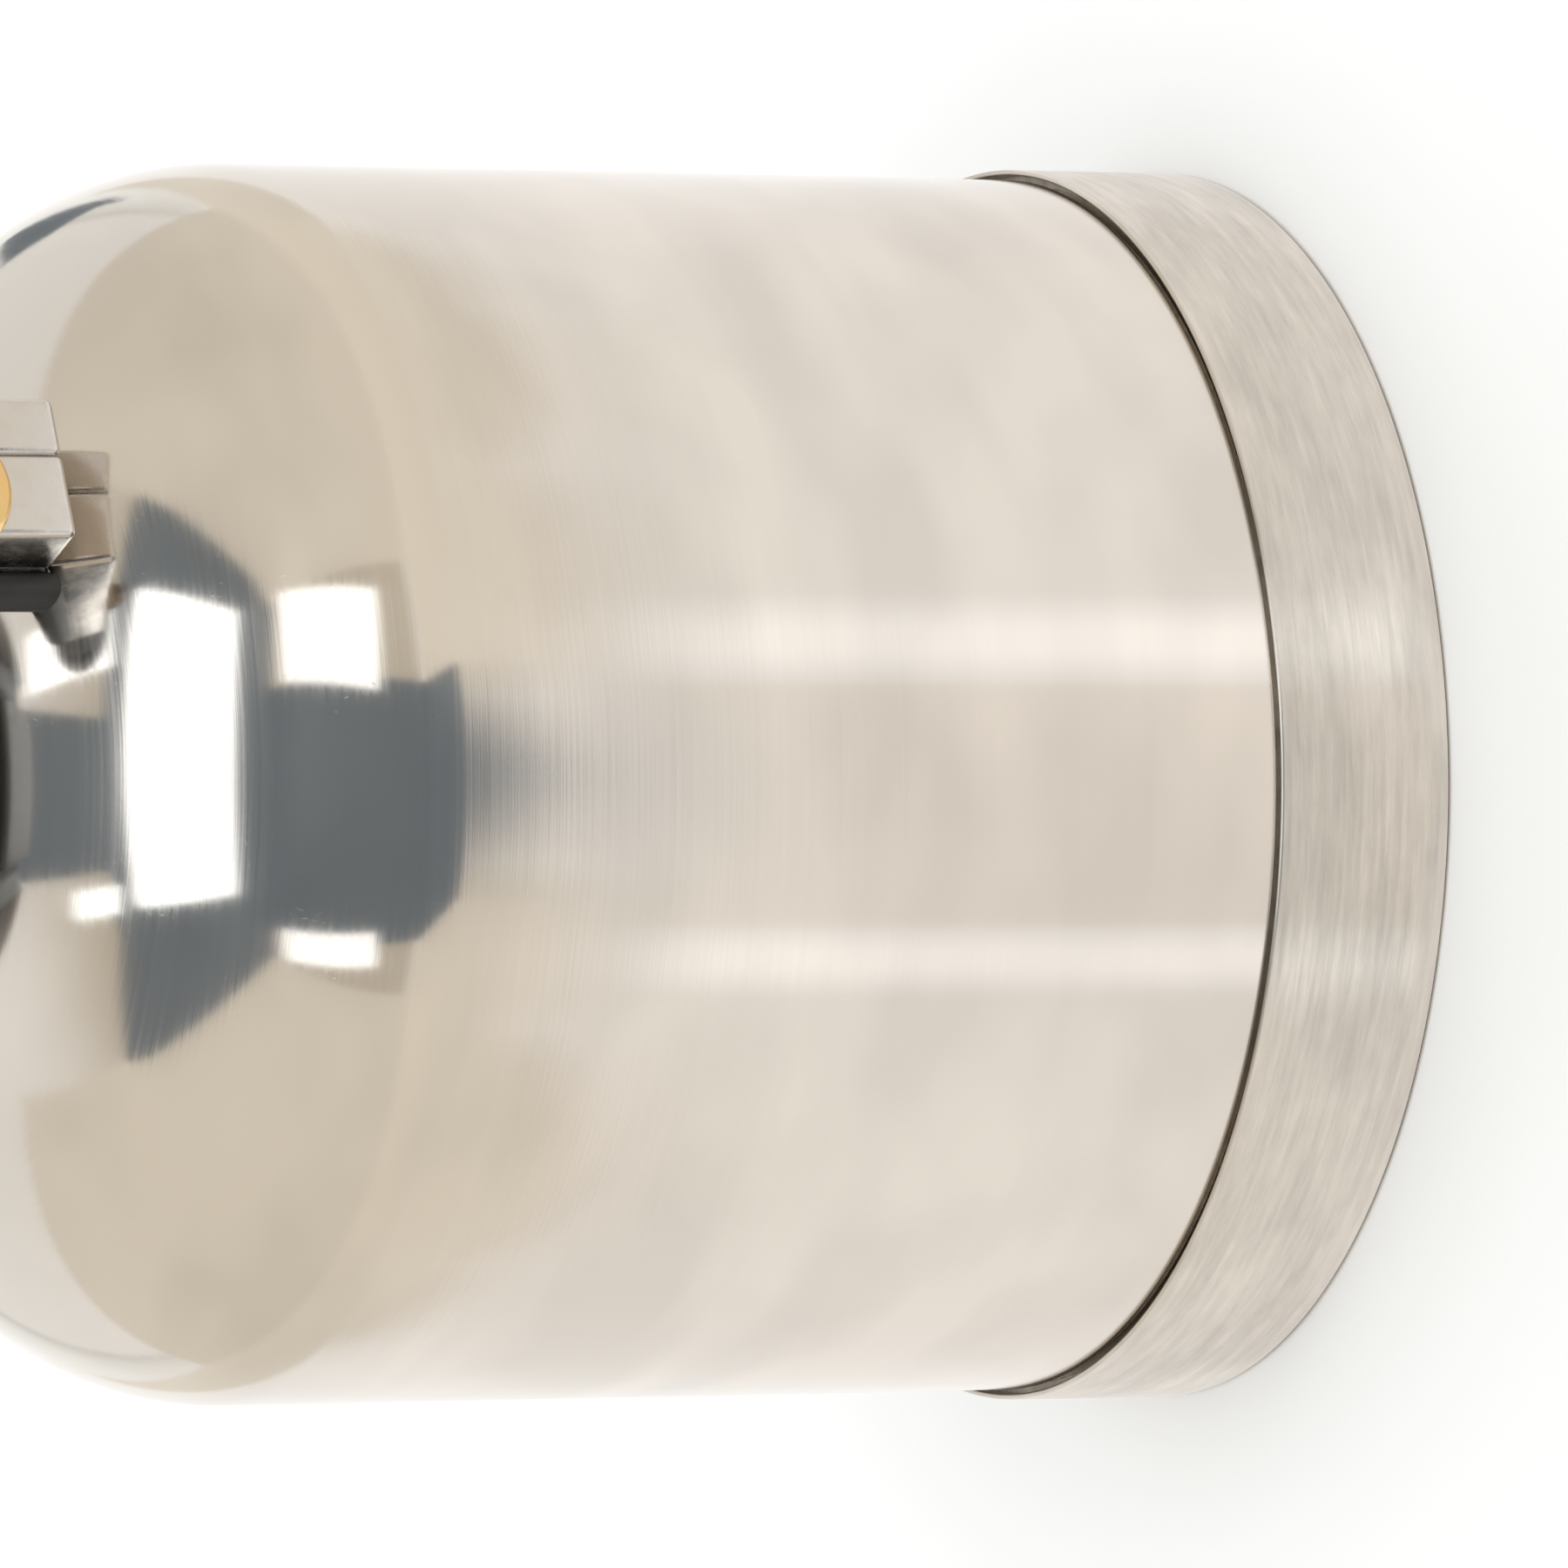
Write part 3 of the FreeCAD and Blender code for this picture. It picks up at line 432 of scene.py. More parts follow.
def coated(name, base, rough, grain=900.0, depth=0.00003, strength=0.3, drift=0.15, coat=0.0, sheen=0.0):
    """Paint, plastic or rubber with a fine texture."""
    s = Shades(name)
    wide = s.noise((60, 60, 60), 3.0)
    s.tint(wide, base, 1 - drift, 1 + drift)
    fine = s.noise((grain, grain, grain), 3.0, 0.6)
    s.rough(fine, rough * 0.85, min(rough * 1.15, 1.0))
    s.bump(fine, strength, depth)
    s.shader.inputs["Coat Weight"].default_value = coat
    s.shader.inputs["Sheen Weight"].default_value = sheen
    return s.material


def clear_glass():
    """Plain glass with a faint unevenness in its polish."""
    s = Shades("clear_glass")
    s.shader.inputs["Transmission Weight"].default_value = 1.0
    s.shader.inputs["IOR"].default_value = 1.45
    s.rough(s.noise((40, 40, 40), 2.0), 0.0, 0.02)
    s.shader.inputs["Base Color"].default_value = (0.97, 0.98, 0.98, 1)
    return s.material


FINISH = {}


def prepare_finishes(vessel, fitting):
    nickel = tuple(fitting.nickel)
    brass = tuple(fitting.brass)
    FINISH.update({
        "polished": polished_vessel(tuple(vessel.steel), vessel.knuckle_z),
        "skirt": brushed_skirt(tuple(vessel.brushed)),
        "weld": metal("welded_steel", (0.42, 0.38, 0.33), 0.42, (260, 260, 260), 0.3, 0.0001, 0.6),
        "turned": metal("turned_steel", (0.68, 0.66, 0.63), 0.24, (40, 40, 2600), 0.4, strength=0.3,
                        along="Z", stretch=0.5),
        "satin": metal("satin_steel", (0.66, 0.65, 0.63), 0.27, (500, 500, 500), 0.3),
        "gauge": metal("gauge_steel", (0.72, 0.72, 0.71), 0.14, (900, 900, 900), 0.3),
        "block": metal("cast_plate", (0.68, 0.645, 0.61), 0.24, (160, 160, 160), 0.6, 0.00008, 0.5),
        "nickel": metal("nickel_plate", nickel, 0.16, (420, 420, 420), 0.5, 0.00002, 0.3),
        "chrome": metal("chrome_ball", (0.82, 0.82, 0.83), 0.05, (300, 300, 300), 0.3),
        "brass": metal("turned_brass", brass, 0.20, (500, 500, 500), 0.5, 0.00002, 0.3),
        "zinc": metal("zinc_plate", (0.56, 0.57, 0.57), 0.33, (260, 260, 260), 0.3, 0.00003, 0.35),
        "spring": metal("spring_wire", (0.50, 0.50, 0.51), 0.28, (700, 700, 700), 0.3),
        "ring_coat": coated("ring_coat", (0.030, 0.029, 0.028), 0.38, 700, 0.00003, 0.3, 0.15, 0.15),
        "bonnet": coated("black_moulding", (0.028, 0.028, 0.029), 0.48, 1100, 0.00004, 0.35),
        "knob": coated("knob_moulding", (0.036, 0.036, 0.038), 0.52, 1300, 0.00004, 0.35),
        "rubber": coated("black_rubber", (0.022, 0.022, 0.022), 0.72, 800, 0.00005, 0.4, 0.2, 0.0, 0.15),
        "grip": coated("dipped_grip", tuple(fitting.grip), 0.32, 350, 0.00006, 0.25, 0.12, 0.3),
        "seat": coated("white_seat", (0.80, 0.79, 0.76), 0.45, 600, 0.00002, 0.2, 0.05),
        "dial": coated("dial_enamel", (0.86, 0.86, 0.83), 0.50, 900, 0.00001, 0.1, 0.03),
        "print": coated("dial_print", (0.020, 0.020, 0.022), 0.55, 900, 0.00001, 0.1, 0.1),
        "glass": clear_glass(),
    })


# ---- vessel


def vessel_shell(v):
    """The drawn cylinder and dome in one sheet, stepped in at the foot and open at the neck."""
    bm = bmesh.new()
    seam = low("tank_shell").z
    outer = v.body_radius
    inner = outer - v.sheet
    squeeze = v.dome_height / v.body_radius
    neck = v.neck_radius + FIT
    opened = acos(neck / outer)
    closed = acos(neck / inner)
    step_r = v.joggle_radius
    start = outline_point(bm, step_r, seam)
    lip = line_to(bm, start, step_r, v.joggle_z - 0.0008)
    lip = line_to(bm, lip, step_r + 0.0003, v.joggle_z - 0.0003)
    lip = line_to(bm, lip, outer - 0.0004, v.joggle_z + 0.0004)
    lip = line_to(bm, lip, outer, v.joggle_z + 0.0010)
    shoulder = line_to(bm, lip, outer, v.knuckle_z)
    mouth = bend_to(bm, shoulder, 0, v.knuckle_z, opened, 64)
    back = line_to(bm, start, step_r - v.sheet, seam)
    back = line_to(bm, back, step_r - v.sheet, v.joggle_z)
    back = line_to(bm, back, inner, v.joggle_z + 0.0012)
    inside = line_to(bm, back, inner, v.knuckle_z)
    inside_mouth = bend_to(bm, inside, 0, v.knuckle_z, closed, 48)
    above = [w for w in bm.verts if w.co.z > v.knuckle_z + 1e-6]
    bmesh.ops.translate(bm, vec=(0, 0, -v.knuckle_z), verts=above)
    bmesh.ops.scale(bm, vec=(1, 1, squeeze), verts=above)
    bmesh.ops.translate(bm, vec=(0, 0, v.knuckle_z), verts=above)
    bm.edges.new((mouth, inside_mouth))
    return spun(bm, ROUND)


def foot_skirt(v):
    """A ring of sheet with a rolled lip and its foot turned in."""
    outer = v.skirt_outer
    inner = outer - v.skirt_sheet
    top = high("foot_skirt").z
    roll = 0.0022
    foot = 0.0042
    bm = bmesh.new()
    start = outline_point(bm, outer, roll)
    up = line_to(bm, start, outer, top - v.skirt_sheet / 2)
    over = bend_to(bm, up, outer - v.skirt_sheet / 2, top - v.skirt_sheet / 2, pi, 10)
    down = line_to(bm, over, inner, roll)
    foot_in = bend_to(bm, down, outer - roll, roll, -pi / 2, 8)
    toe = line_to(bm, foot_in, outer - foot, v.skirt_sheet)
    toe = line_to(bm, toe, outer - foot, 0.0)
    foot_out = bend_to(bm, start, outer - roll, roll, -pi / 2, 8)
    bm.edges.new((toe, foot_out))
    return spun(bm, ROUND)


class POT_OT_vessel(bpy.types.Operator):
    """Make the vessel's polished shell and the brushed foot skirt, and finish its bottom head and the
    skirt's weld
    """

    bl_idname = "pot.vessel"
    bl_label = "Vessel"

    def execute(self, context):
        v = context.scene.pot_vessel
        piece("vessel_shell", vessel_shell(v), "tank", "polished", ["tank_shell"])
        piece("skirt_ring", foot_skirt(v), "tank", "skirt", ["foot_skirt"])
        finish_nodes(bottom_head="turned", skirt_weld="weld")
        return {"FINISHED"}


# ---- neck, lid and lock ring


def carried_up(bm, pitch, turns, per_turn):
    """Carry a section up a screw line round Z and close both ends."""
    steps = int(per_turn * turns)
    bmesh.ops.spin(
        bm, geom=bm.verts[:] + bm.edges[:], cent=(0, 0, 0), axis=(0, 0, 1), angle=2 * pi * turns,
        dvec=(0, 0, pitch * turns / steps), steps=steps, use_duplicate=False,
    )
    capped(bm)
    return bm


def thread_ridge(root, half, pitch, turns, z):
    """A thread's ridge, narrower at its crest, standing on a root radius."""
    bm = bmesh.new()
    crest = root + half * 0.8
    chain(bm, [(root, z - half), (crest, z - half * 0.45), (crest, z + half * 0.45), (root, z + half)])
    return carried_up(bm, pitch, turns, 96)


def coil(centre_r, wire_r, lo, hi, turns=5):
    """A spring of round wire between two heights."""
    bm = bmesh.new()
    start = Matrix.Translation((centre_r, 0, lo + wire_r)) @ Matrix.Rotation(pi / 2, 4, "X")
    bmesh.ops.create_circle(bm, cap_ends=False, radius=wire_r, segments=12, matrix=start)
    return carried_up(bm, (hi - lo - 2 * wire_r) / turns, turns, 48)


def threaded_neck(v, pitch):
    """The neck collar, its outside thread standing on a thicker land."""
    lo, hi = low("neck_collar").z, high("neck_collar").z
    wall = 0.005
    bore = v.neck_radius - wall
    root = 0.0501
    land = 0.290
    half_ridge = 0.0017
    inset = 0.0018
    neck = v.neck_radius
    tube = lathe([(bore, lo), (neck, lo), (neck, land), (root, land), (root, hi), (bore, hi)], ROUND, 0.0004)
    turns = (hi - land - 2 * inset) / pitch
    return merged(tube, thread_ridge(root - 0.0001, half_ridge, pitch, turns, land + inset))


def lid_disc():
    """A turned lid: a spigot below, a rim on the gasket and a raised crown with a shallow recess."""
    top, rim = high("lid_plate").z, high("lid_plate").x
    seat = high("lid_gasket").z
    shoulder = seat + 0.004
    under = top - 0.007
    spigot, pocket, crown = 0.0416, 0.036, 0.045
    recess_in, recess_out, recess = 0.014, 0.0416, 0.0004
    outline = [
        (0, top), (recess_in, top), (recess_in + 0.0006, top - recess), (recess_out - 0.0006, top - recess),
        (recess_out, top), (crown, top), (crown, shoulder), (rim, shoulder), (rim, seat), (spigot, seat),
        (spigot, low("lid_plate").z), (pocket, low("lid_plate").z), (pocket, under), (0, under),
    ]
    bm = bmesh.new()
    chain(bm, outline, closed=False)
    corners = [v for v in bm.verts if v.co.x > crown - 0.0001]
    broken(bm, corners, 0.0009, 3, "VERTICES")
    return spun(bm, ROUND)


def ribbed_grip():
    """A moulded sleeve with finger grooves, along X on the handle's bar."""
    box_low, box_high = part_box("handle_grip")
    half = (box_high.x - box_low.x) / 2
    outer = (box_high.z - box_low.z) / 2
    bore = 0.004 + FIT
    lip = 0.0022
    margin = 0.005
    grooves = 7
    step = (2 * half - 2 * margin) / grooves
    bm = bmesh.new()
    start = outline_point(bm, bore, -half)
    last = line_to(bm, start, outer - lip, -half)
    last = bend_to(bm, last, outer - lip, -half + lip, pi / 2, 6)
    last = line_to(bm, last, outer, -half + margin)
    for k in range(grooves):
        z = -half + margin + k * step
        for share, depth in ((0.28, 0), (0.36, 0.0004), (0.5, 0.0007), (0.64, 0.0004), (0.72, 0), (1, 0)):
            last = line_to(bm, last, outer - depth, z + step * share)
    last = line_to(bm, last, outer, half - lip)
    last = bend_to(bm, last, outer - lip, half - lip, pi / 2, 6)
    last = line_to(bm, last, bore, half)
    bm.edges.new((last, start))
    sleeve = spun(bm, PIN_ROUND)
    centre = middle("handle_grip")
    return moved(sleeve, Matrix.Translation(centre) @ Matrix.Rotation(pi / 2, 4, "Y"))


class POT_OT_closure(bpy.types.Operator):
    """Make the threaded neck, the lid and its handle's grip, and finish the gasket, the handle and the lock
    ring
    """

    bl_idname = "pot.closure"
    bl_label = "Neck and lid"

    def execute(self, context):
        v = context.scene.pot_vessel
        pitch = context.scene.pot_fitting.thread_pitch
        piece("threaded_neck", threaded_neck(v, pitch), "tank", "turned", ["neck_collar"])
        piece("lid_disc", lid_disc(), "lid", "turned", ["lid_plate"])
        piece("ribbed_grip", ribbed_grip(), "lid", "rubber", ["handle_grip"])
        finish_nodes(lid_gasket="rubber", lid_handle="satin", lock_ring="ring_coat")
        return {"FINISHED"}


# ---- gauge


DIAL_START = radians(225)
DIAL_SWEEP = radians(270)
MARK_OUTER = 0.0196
PRINT_T = 0.00015
LETTER_T = 0.00008


def gauge_frame():
    """The gauge's own frame: +Z out of its face, +Y up, at the centre of the case's back."""
    case_low, case_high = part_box("gauge_case")
    centre = (case_low + case_high) / 2
    return Matrix.Translation((centre.x, case_high.y, centre.z)) @ Matrix.Rotation(pi / 2, 4, "X")


def face_height():
    """Height of the dial's printed face in the gauge's frame."""
    return high("gauge_case").y - low("gauge_dial").y


def dial_angle(share):
    """Bearing of a share of the scale, which starts at the lower left and runs clockwise."""
    return DIAL_START - DIAL_SWEEP * share


def dial_marks(ticks, top):
    """Small and large marks, and an arc that joins them."""
    z = face_height()
    marks = []
    for k in range(ticks + 1):
        large = k % max(ticks // top, 1) == 0
        inner, width = (0.0162, 0.00065) if large else (0.0177, 0.00030)
        bar = block(inner, MARK_OUTER, -width / 2, width / 2, z, z + PRINT_T)
        marks.append(moved(bar, Matrix.Rotation(dial_angle(k / ticks), 4, "Z")))
    rim = MARK_OUTER + 0.0004
    arc = bmesh.new()
    chain(arc, [(MARK_OUTER, z), (rim, z), (rim, z + PRINT_T), (MARK_OUTER, z + PRINT_T)])
    bmesh.ops.spin(
        arc, geom=arc.verts[:] + arc.edges[:], cent=(0, 0, 0), axis=(0, 0, 1), angle=DIAL_SWEEP, steps=90,
        use_duplicate=False,
    )
    capped(arc)
    marks.append(moved(arc, Matrix.Rotation(dial_angle(1), 4, "Z")))
    return moved(merged(*marks), gauge_frame())


def printed(text, size, x, y, z):
    """One flat word of generic print as a closed mesh."""
    curve = bpy.data.curves.new("print", "FONT")
    curve.body = text
    curve.size = size
    curve.align_x = "CENTER"
    curve.align_y = "CENTER"
    curve.extrude = LETTER_T
    curve.resolution_u = 4
    holder = bpy.data.objects.new("print", curve)
    bpy.context.scene.collection.objects.link(holder)
    depsgraph = bpy.context.evaluated_depsgraph_get()
    mesh = bpy.data.meshes.new_from_object(holder.evaluated_get(depsgraph))
    bm = bmesh.new()
    bm.from_mesh(mesh)
    bpy.data.objects.remove(holder)
    bpy.data.curves.remove(curve)
    bpy.data.meshes.remove(mesh)
    bmesh.ops.remove_doubles(bm, verts=bm.verts, dist=1e-6)
    return moved(bm, Matrix.Translation((x, y, z)))


def dial_numbers(top):
    """The even numbers of the scale and its unit, standing on the dial's face."""
    z = face_height() + LETTER_T
    reach = 0.0132
    words = [printed("bar", 0.0036, 0, -0.0095, z)]
    for k in range(0, top + 1, 2):
        a = dial_angle(k / top)
        words.append(printed(str(k), 0.0042, reach * cos(a), reach * sin(a), z))
    return moved(merged(*words), gauge_frame())


def rolled_bezel():
    """The rim of the case: a grooved band rolled over in front of the lens."""
    case = high("gauge_case").y - low("gauge_case").y
    outer = (high("gauge_bezel").x - low("gauge_bezel").x) / 2
    front = high("gauge_case").y - low("gauge_bezel").y
    back = high("gauge_case").y - high("gauge_bezel").y
    bm = bmesh.new()
    wall = 0.0015 - FIT
    groove = outer - 0.0004
    roll = 0.0016
    start = outline_point(bm, outer - wall, back)
    last = line_to(bm, start, outer, back)
    for radius, rise in ((outer, 0.0012), (groove, 0.0016), (groove, 0.0026), (outer, 0.0030)):
        last = line_to(bm, last, radius, back + rise)
    last = line_to(bm, last, outer, front - roll)
    last = bend_to(bm, last, outer - roll, front - roll, -pi / 2, 8)
    last = line_to(bm, last, 0.0238, front)
    last = line_to(bm, last, 0.0225, case)
    last = line_to(bm, last, outer - wall, case)
    bm.edges.new((last, start))
    return moved(spun(bm, 128), gauge_frame())


class POT_OT_gauge(bpy.types.Operator):
    """Make the pressure gauge's bezel, its printed dial and its finishes"""

    bl_idname = "pot.gauge"
    bl_label = "Gauge"

    def execute(self, context):
        f = context.scene.pot_fitting
        piece("rolled_bezel", rolled_bezel(), "lid", "gauge", ["gauge_bezel"])
        piece("dial_marks", dial_marks(f.dial_ticks, f.dial_top), "lid", "print")
        piece("dial_numbers", dial_numbers(f.dial_top), "lid", "print")
        finish_nodes(
            gauge_case="gauge", gauge_stem="brass", gauge_dial="dial", gauge_needle="print",
            gauge_lens="glass", gauge_movement="brass",
        )
        return {"FINISHED"}


# ---- air inlet and regulator


# The air block: its near corner, its bearing, its size and the joint between its two halves
BLOCK_CORNER = (0.0465, -0.0803, 0)
BLOCK_TURN = Matrix.Rotation(radians(26), 4, "Z")
BLOCK_W = 0.029
BLOCK_D = 0.015
BLOCK_SPLIT = 0.0171
PORT_X = 0.0045
REGULATOR_X = 0.0145


def block_frame():
    """The air block's own frame: its near lower corner, turned to face the vessel's axis."""
    return Matrix.Translation(BLOCK_CORNER) @ BLOCK_TURN


def dome_height_at(v, x, y):
    return v.knuckle_z + v.dome_height * (1 - (x * x + y * y) / v.body_radius ** 2) ** 0.5


def manifold_half(x0, x1, v):
    """One side of the cast block, the corner of its foot that meets the dome cut away."""
    bm = soften_edges(block(x0, x1, 0, BLOCK_D, low("air_manifold").z, high("air_manifold").z), 0.0016, 4)
    moved(bm, block_frame())
    corner = block_frame() @ Vector((0, BLOCK_D, 0))
    height = dome_height_at(v, corner.x, corner.y)
    across = v.body_radius ** 2
    lean = Vector((corner.x / across, corner.y / across, (height - v.knuckle_z) / v.dome_height ** 2))
    lean.normalize()
    sunk = 0.0004
    foot = Vector((corner.x, corner.y, height)) - lean * sunk
    cut = bmesh.ops.bisect_plane(
        bm, geom=bm.verts[:] + bm.edges[:] + bm.faces[:], dist=1e-6, plane_co=foot, plane_no=-lean,
        clear_outer=True,
    )
    opened = [e for e in cut["geom_cut"] if isinstance(e, bmesh.types.BMEdge)]
    bmesh.ops.holes_fill(bm, edges=opened, sides=0)
    outward(bm)
    return bm


def port_frame():
    """The inlet's frame: +Z out of the block's front, at the middle of the port's back."""
    box_low, box_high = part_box("inlet_port")
    at = block_frame() @ Vector((PORT_X, 0, (box_low.z + box_high.z) / 2))
    return Matrix.Translation(at) @ BLOCK_TURN @ Matrix.Rotation(pi / 2, 4, "X")


def brass_port():
    """A turned brass disc with a broken rim and a tapped hole."""
    hub, flange, thick = 0.0110, 0.0140, 0.0120
    back, tapped, bore, room = 0.0060, 0.0056, 0.0030, 0.0052
    floor = thick - 0.0045
    groove = thick - 0.0003
    outline = [(room, 0), (hub, 0), (hub, back), (flange - 0.0012, back), (flange, back + 0.0008),
               (flange, thick - 0.0012), (flange - 0.0003, thick - 0.0005), (flange - 0.0010, thick),
               (0.0100, thick), (0.0096, groove), (0.0082, groove), (0.0078, thick), (0.0062, thick)]
    teeth = 5
    step = 0.0042 / teeth
    for k in range(teeth):
        z = thick - 0.0002 - k * step
        outline += [(tapped, z), (tapped + 0.0004, z - step * 0.45), (tapped, z - step * 0.9)]
    outline += [(tapped, floor), (bore, floor), (bore, 0.0030), (room, 0.0030)]
    return moved(lathe(outline, SMALL_ROUND), port_frame())


def regulator_frame():
    return Matrix.Translation(block_frame() @ Vector((REGULATOR_X, BLOCK_D / 2, 0)))


def rib_ring(count, radius, half, depth, lo, hi, soften=0.0):
    """Upright ribs round Z, each just inside a radius."""
    ribs = []
    for k in range(count):
        rib = block(radius - depth, radius - FIT, -half, half, lo, hi)
        if soften:
            soften_edges(rib, soften, 2)
        ribs.append(moved(rib, Matrix.Rotation(2 * pi * k / count, 4, "Z")))
    return ribs


def ribbed_bonnet():
    """The regulator's moulded bonnet with a foot flange and a ring of upright ribs."""
    lo, hi = low("regulator_bonnet").z, high("regulator_bonnet").z
    outer = 0.0136
    waist = outer - 0.0006
    room, screw_hole, crown = 0.0083, 0.0032, 0.0024
    outline = [(room, lo), (outer, lo), (outer, lo + 0.0030), (waist, lo + 0.0036), (waist, hi - 0.0030),
               (outer, hi - crown), (outer, hi - 0.0006), (waist, hi), (screw_hole, hi),
               (screw_hole, hi - crown), (room, hi - crown)]
    ribs = rib_ring(24, outer, 0.0005, 0.0012, lo + 0.0032, hi - 0.0026)
    return moved(merged(lathe(outline), *ribs), regulator_frame())


def ribbed_knob():
    """A push-lock knob with a knurled skirt, a dished top and its screw below."""
    lo, hi = high("regulator_bonnet").z + FIT, high("regulator_knob").z
    outer = 0.0146
    waist = outer - 0.0006
    outline = [(0, hi - 0.0012), (0.0085, hi - 0.0012), (0.0100, hi - 0.0002), (0.0110, hi),
               (outer - 0.0022, hi), (outer - 0.0010, hi - 0.0006), (waist, hi - 0.0018),
               (waist, lo + 0.0030), (outer, lo + 0.0024), (outer, lo), (0, lo)]
    cap = bmesh.new()
    chain(cap, outline, closed=False)
    ribs = rib_ring(36, outer, 0.00045, 0.0013, lo + 0.0028, hi - 0.0022, 0.0002)
    foot, rod, buried = low("regulator_knob").z, 0.0030, lo + 0.0005
    chamfer = 0.0002
    screw = lathe([(0, foot), (rod - chamfer, foot), (rod, foot + 0.0003), (rod, buried), (0, buried)], 32)
    thick = 0.0016
    collar = lo - 0.0025 - thick
    inner, wide = rod - chamfer, 0.0050
    stop = lathe([(inner, collar), (wide, collar), (wide, collar + thick), (inner, collar + thick)], 48)
    return moved(merged(spun(cap, SMALL_ROUND), *ribs, screw, stop), regulator_frame())


def range_coil():
    return moved(coil(0.0056, 0.0008, high("diaphragm").z, low("spring_seat").z), regulator_frame())


class POT_OT_air_side(bpy.types.Operator):
    """Make the air block, its brass inlet and the regulator's bonnet, knob and spring, and finish the check,
    the bracket and the rest
    """

    bl_idname = "pot.air_side"
    bl_label = "Air inlet and regulator"

    def execute(self, context):
        v = context.scene.pot_vessel
        wide = manifold_half(0.0, BLOCK_SPLIT, v)
        narrow = manifold_half(BLOCK_SPLIT, BLOCK_W, v)
        piece("cast_block", merged(wide, narrow), "tank", "block", ["air_manifold"])
        port = piece("brass_port", brass_port(), "tank", "brass", ["inlet_port"])
        port.visible_glossy = False
        piece("ribbed_bonnet", ribbed_bonnet(), "tank", "bonnet", ["regulator_bonnet"])
        piece("ribbed_knob", ribbed_knob(), "knob", "knob", ["regulator_knob"])
        spring = piece("range_coil", range_coil(), "tank", "spring", ["range_spring"])
        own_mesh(spring)
        finish_nodes(
            manifold_bracket="satin", bracket_screws="zinc", air_elbow="bonnet", check_poppet="seat",
            diaphragm="rubber", spring_seat="brass",
        )
        return {"FINISHED"}


# ---- outlet valve


def outlet_frame():
    centre = middle("dip_tube")
    return Matrix.Translation((centre.x, centre.y, 0)) @ Matrix.Rotation(radians(135), 4, "Z")


def hose_barb():
    """A six-sided nut with a spigot below and four barbs above."""
    lo, hi = high("valve_body").z, high("outlet_barb").z
    base = lo + 0.007
    bore, neck, rise, rings = 0.0045, 0.0068, 0.0012, 4
    plug, sunk = 0.0108, 0.002
    step = (hi - base) / rings
    outline = [(bore, lo), (neck, lo), (neck, base + 0.0004)]
    for k in range(rings):
        z = base + k * step
        outline += [(neck, z + step * 0.22), (neck + rise - 0.0002, z + step * 0.24),
                    (neck + rise, z + step * 0.30), (neck + 0.0001, z + step * 0.96)]
    outline += [(neck - 0.0004, hi), (bore, hi)]
    spigot = lathe([(bore, lo - sunk), (plug, lo - sunk), (plug, lo), (bore, lo)], PIN_ROUND)
    nut = soften_edges(hexagon(0.024, lo, base), 0.0006, 3)
    return moved(merged(lathe(outline, PIN_ROUND), spigot, nut), outlet_frame())


def dipped_grip():
    """A thick soft coat over the end of the lever."""
    valve_half, gland, lever = 0.014, 0.004, 0.003
    centre = valve_half + gland + lever / 2 + FIT
    thick, wide, long = 0.007, 0.017, 0.038
    top = high("lever_grip").z
    bm = block(centre - thick / 2, centre + thick / 2, -wide / 2, wide / 2, top - long, top)
    bmesh.ops.subdivide_edges(bm, edges=bm.edges[:], cuts=1, use_grid_fill=True)
    outer = [e for e in bm.edges if e.calc_face_angle(0) > 1]
    broken(bm, outer, 0.0028, 5, "EDGES")
    return moved(bm, outlet_frame())


class POT_OT_outlet(bpy.types.Operator):
    """Make the outlet's hose barb and lever grip, and finish the ball valve, its lever and the dip tube"""

    bl_idname = "pot.outlet"
    bl_label = "Outlet valve"

    def execute(self, context):
        piece("hose_barb", hose_barb(), "tank", "nickel", ["outlet_barb"])
        piece("dipped_grip", dipped_grip(), "lever", "grip", ["lever_grip"])
        finish_nodes(
            valve_body="nickel", outlet_boss="turned", dip_tube="satin", seat_rings="seat",
            valve_ball="chrome", valve_stem="satin", gland_nut="nickel", valve_lever="zinc",
            lever_nut="zinc",
        )
        return {"FINISHED"}


# ---- relief valve


def relief_frame():
    centre = middle("relief_body")
    return Matrix.Translation((centre.x, centre.y, 0))


def knurled_cap():
    """The screwed cap over the relief spring, with a wider crown."""
    lo, hi = low("relief_cap").z, high("relief_cap").z
    under = hi - 0.0012
    stem_hole, neck, crown = 0.0025 + FIT, 0.0068, 0.0088
    dish = hi - 0.0003
    outline = [(stem_hole, lo), (neck, lo), (neck, under), (crown, under), (crown, hi - 0.0004),
               (crown - 0.0004, hi), (0.0040, hi), (0.0036, dish), (stem_hole, dish)]
    return moved(lathe(outline, PIN_ROUND), relief_frame())


# Where the relief spring stands between its poppet and its cap
RELIEF_SPRING_LOW = 0.286
RELIEF_SPRING_TOP = 0.297


def relief_coil():
    return moved(coil(0.0046, 0.0007, RELIEF_SPRING_LOW, RELIEF_SPRING_TOP), relief_frame())


class POT_OT_relief(bpy.types.Operator):
    """Make the relief valve's cap and spring, and finish its body, poppet and pull ring"""

    bl_idname = "pot.relief"
    bl_label = "Relief valve"

    def execute(self, context):
        piece("knurled_cap", knurled_cap(), "tank", "brass", ["relief_cap"])
        spring = piece("relief_coil", relief_coil(), "tank", "spring", ["relief_spring"])
        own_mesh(spring)
        finish_nodes(relief_boss="turned", relief_body="brass", relief_poppet="satin", pull_ring="spring")
        return {"FINISHED"}


# ---- stage


def emissive(name, strength, tone=(1, 1, 1)):
    """A surface that only glows."""
    material = bpy.data.materials.new(name)
    material.use_nodes = True
    shader = material.node_tree.nodes["Principled BSDF"]
    shader.inputs["Base Color"].default_value = (0, 0, 0, 1)
    shader.inputs["Emission Color"].default_value = (*tone, 1)
    shader.inputs["Emission Strength"].default_value = strength
    return material


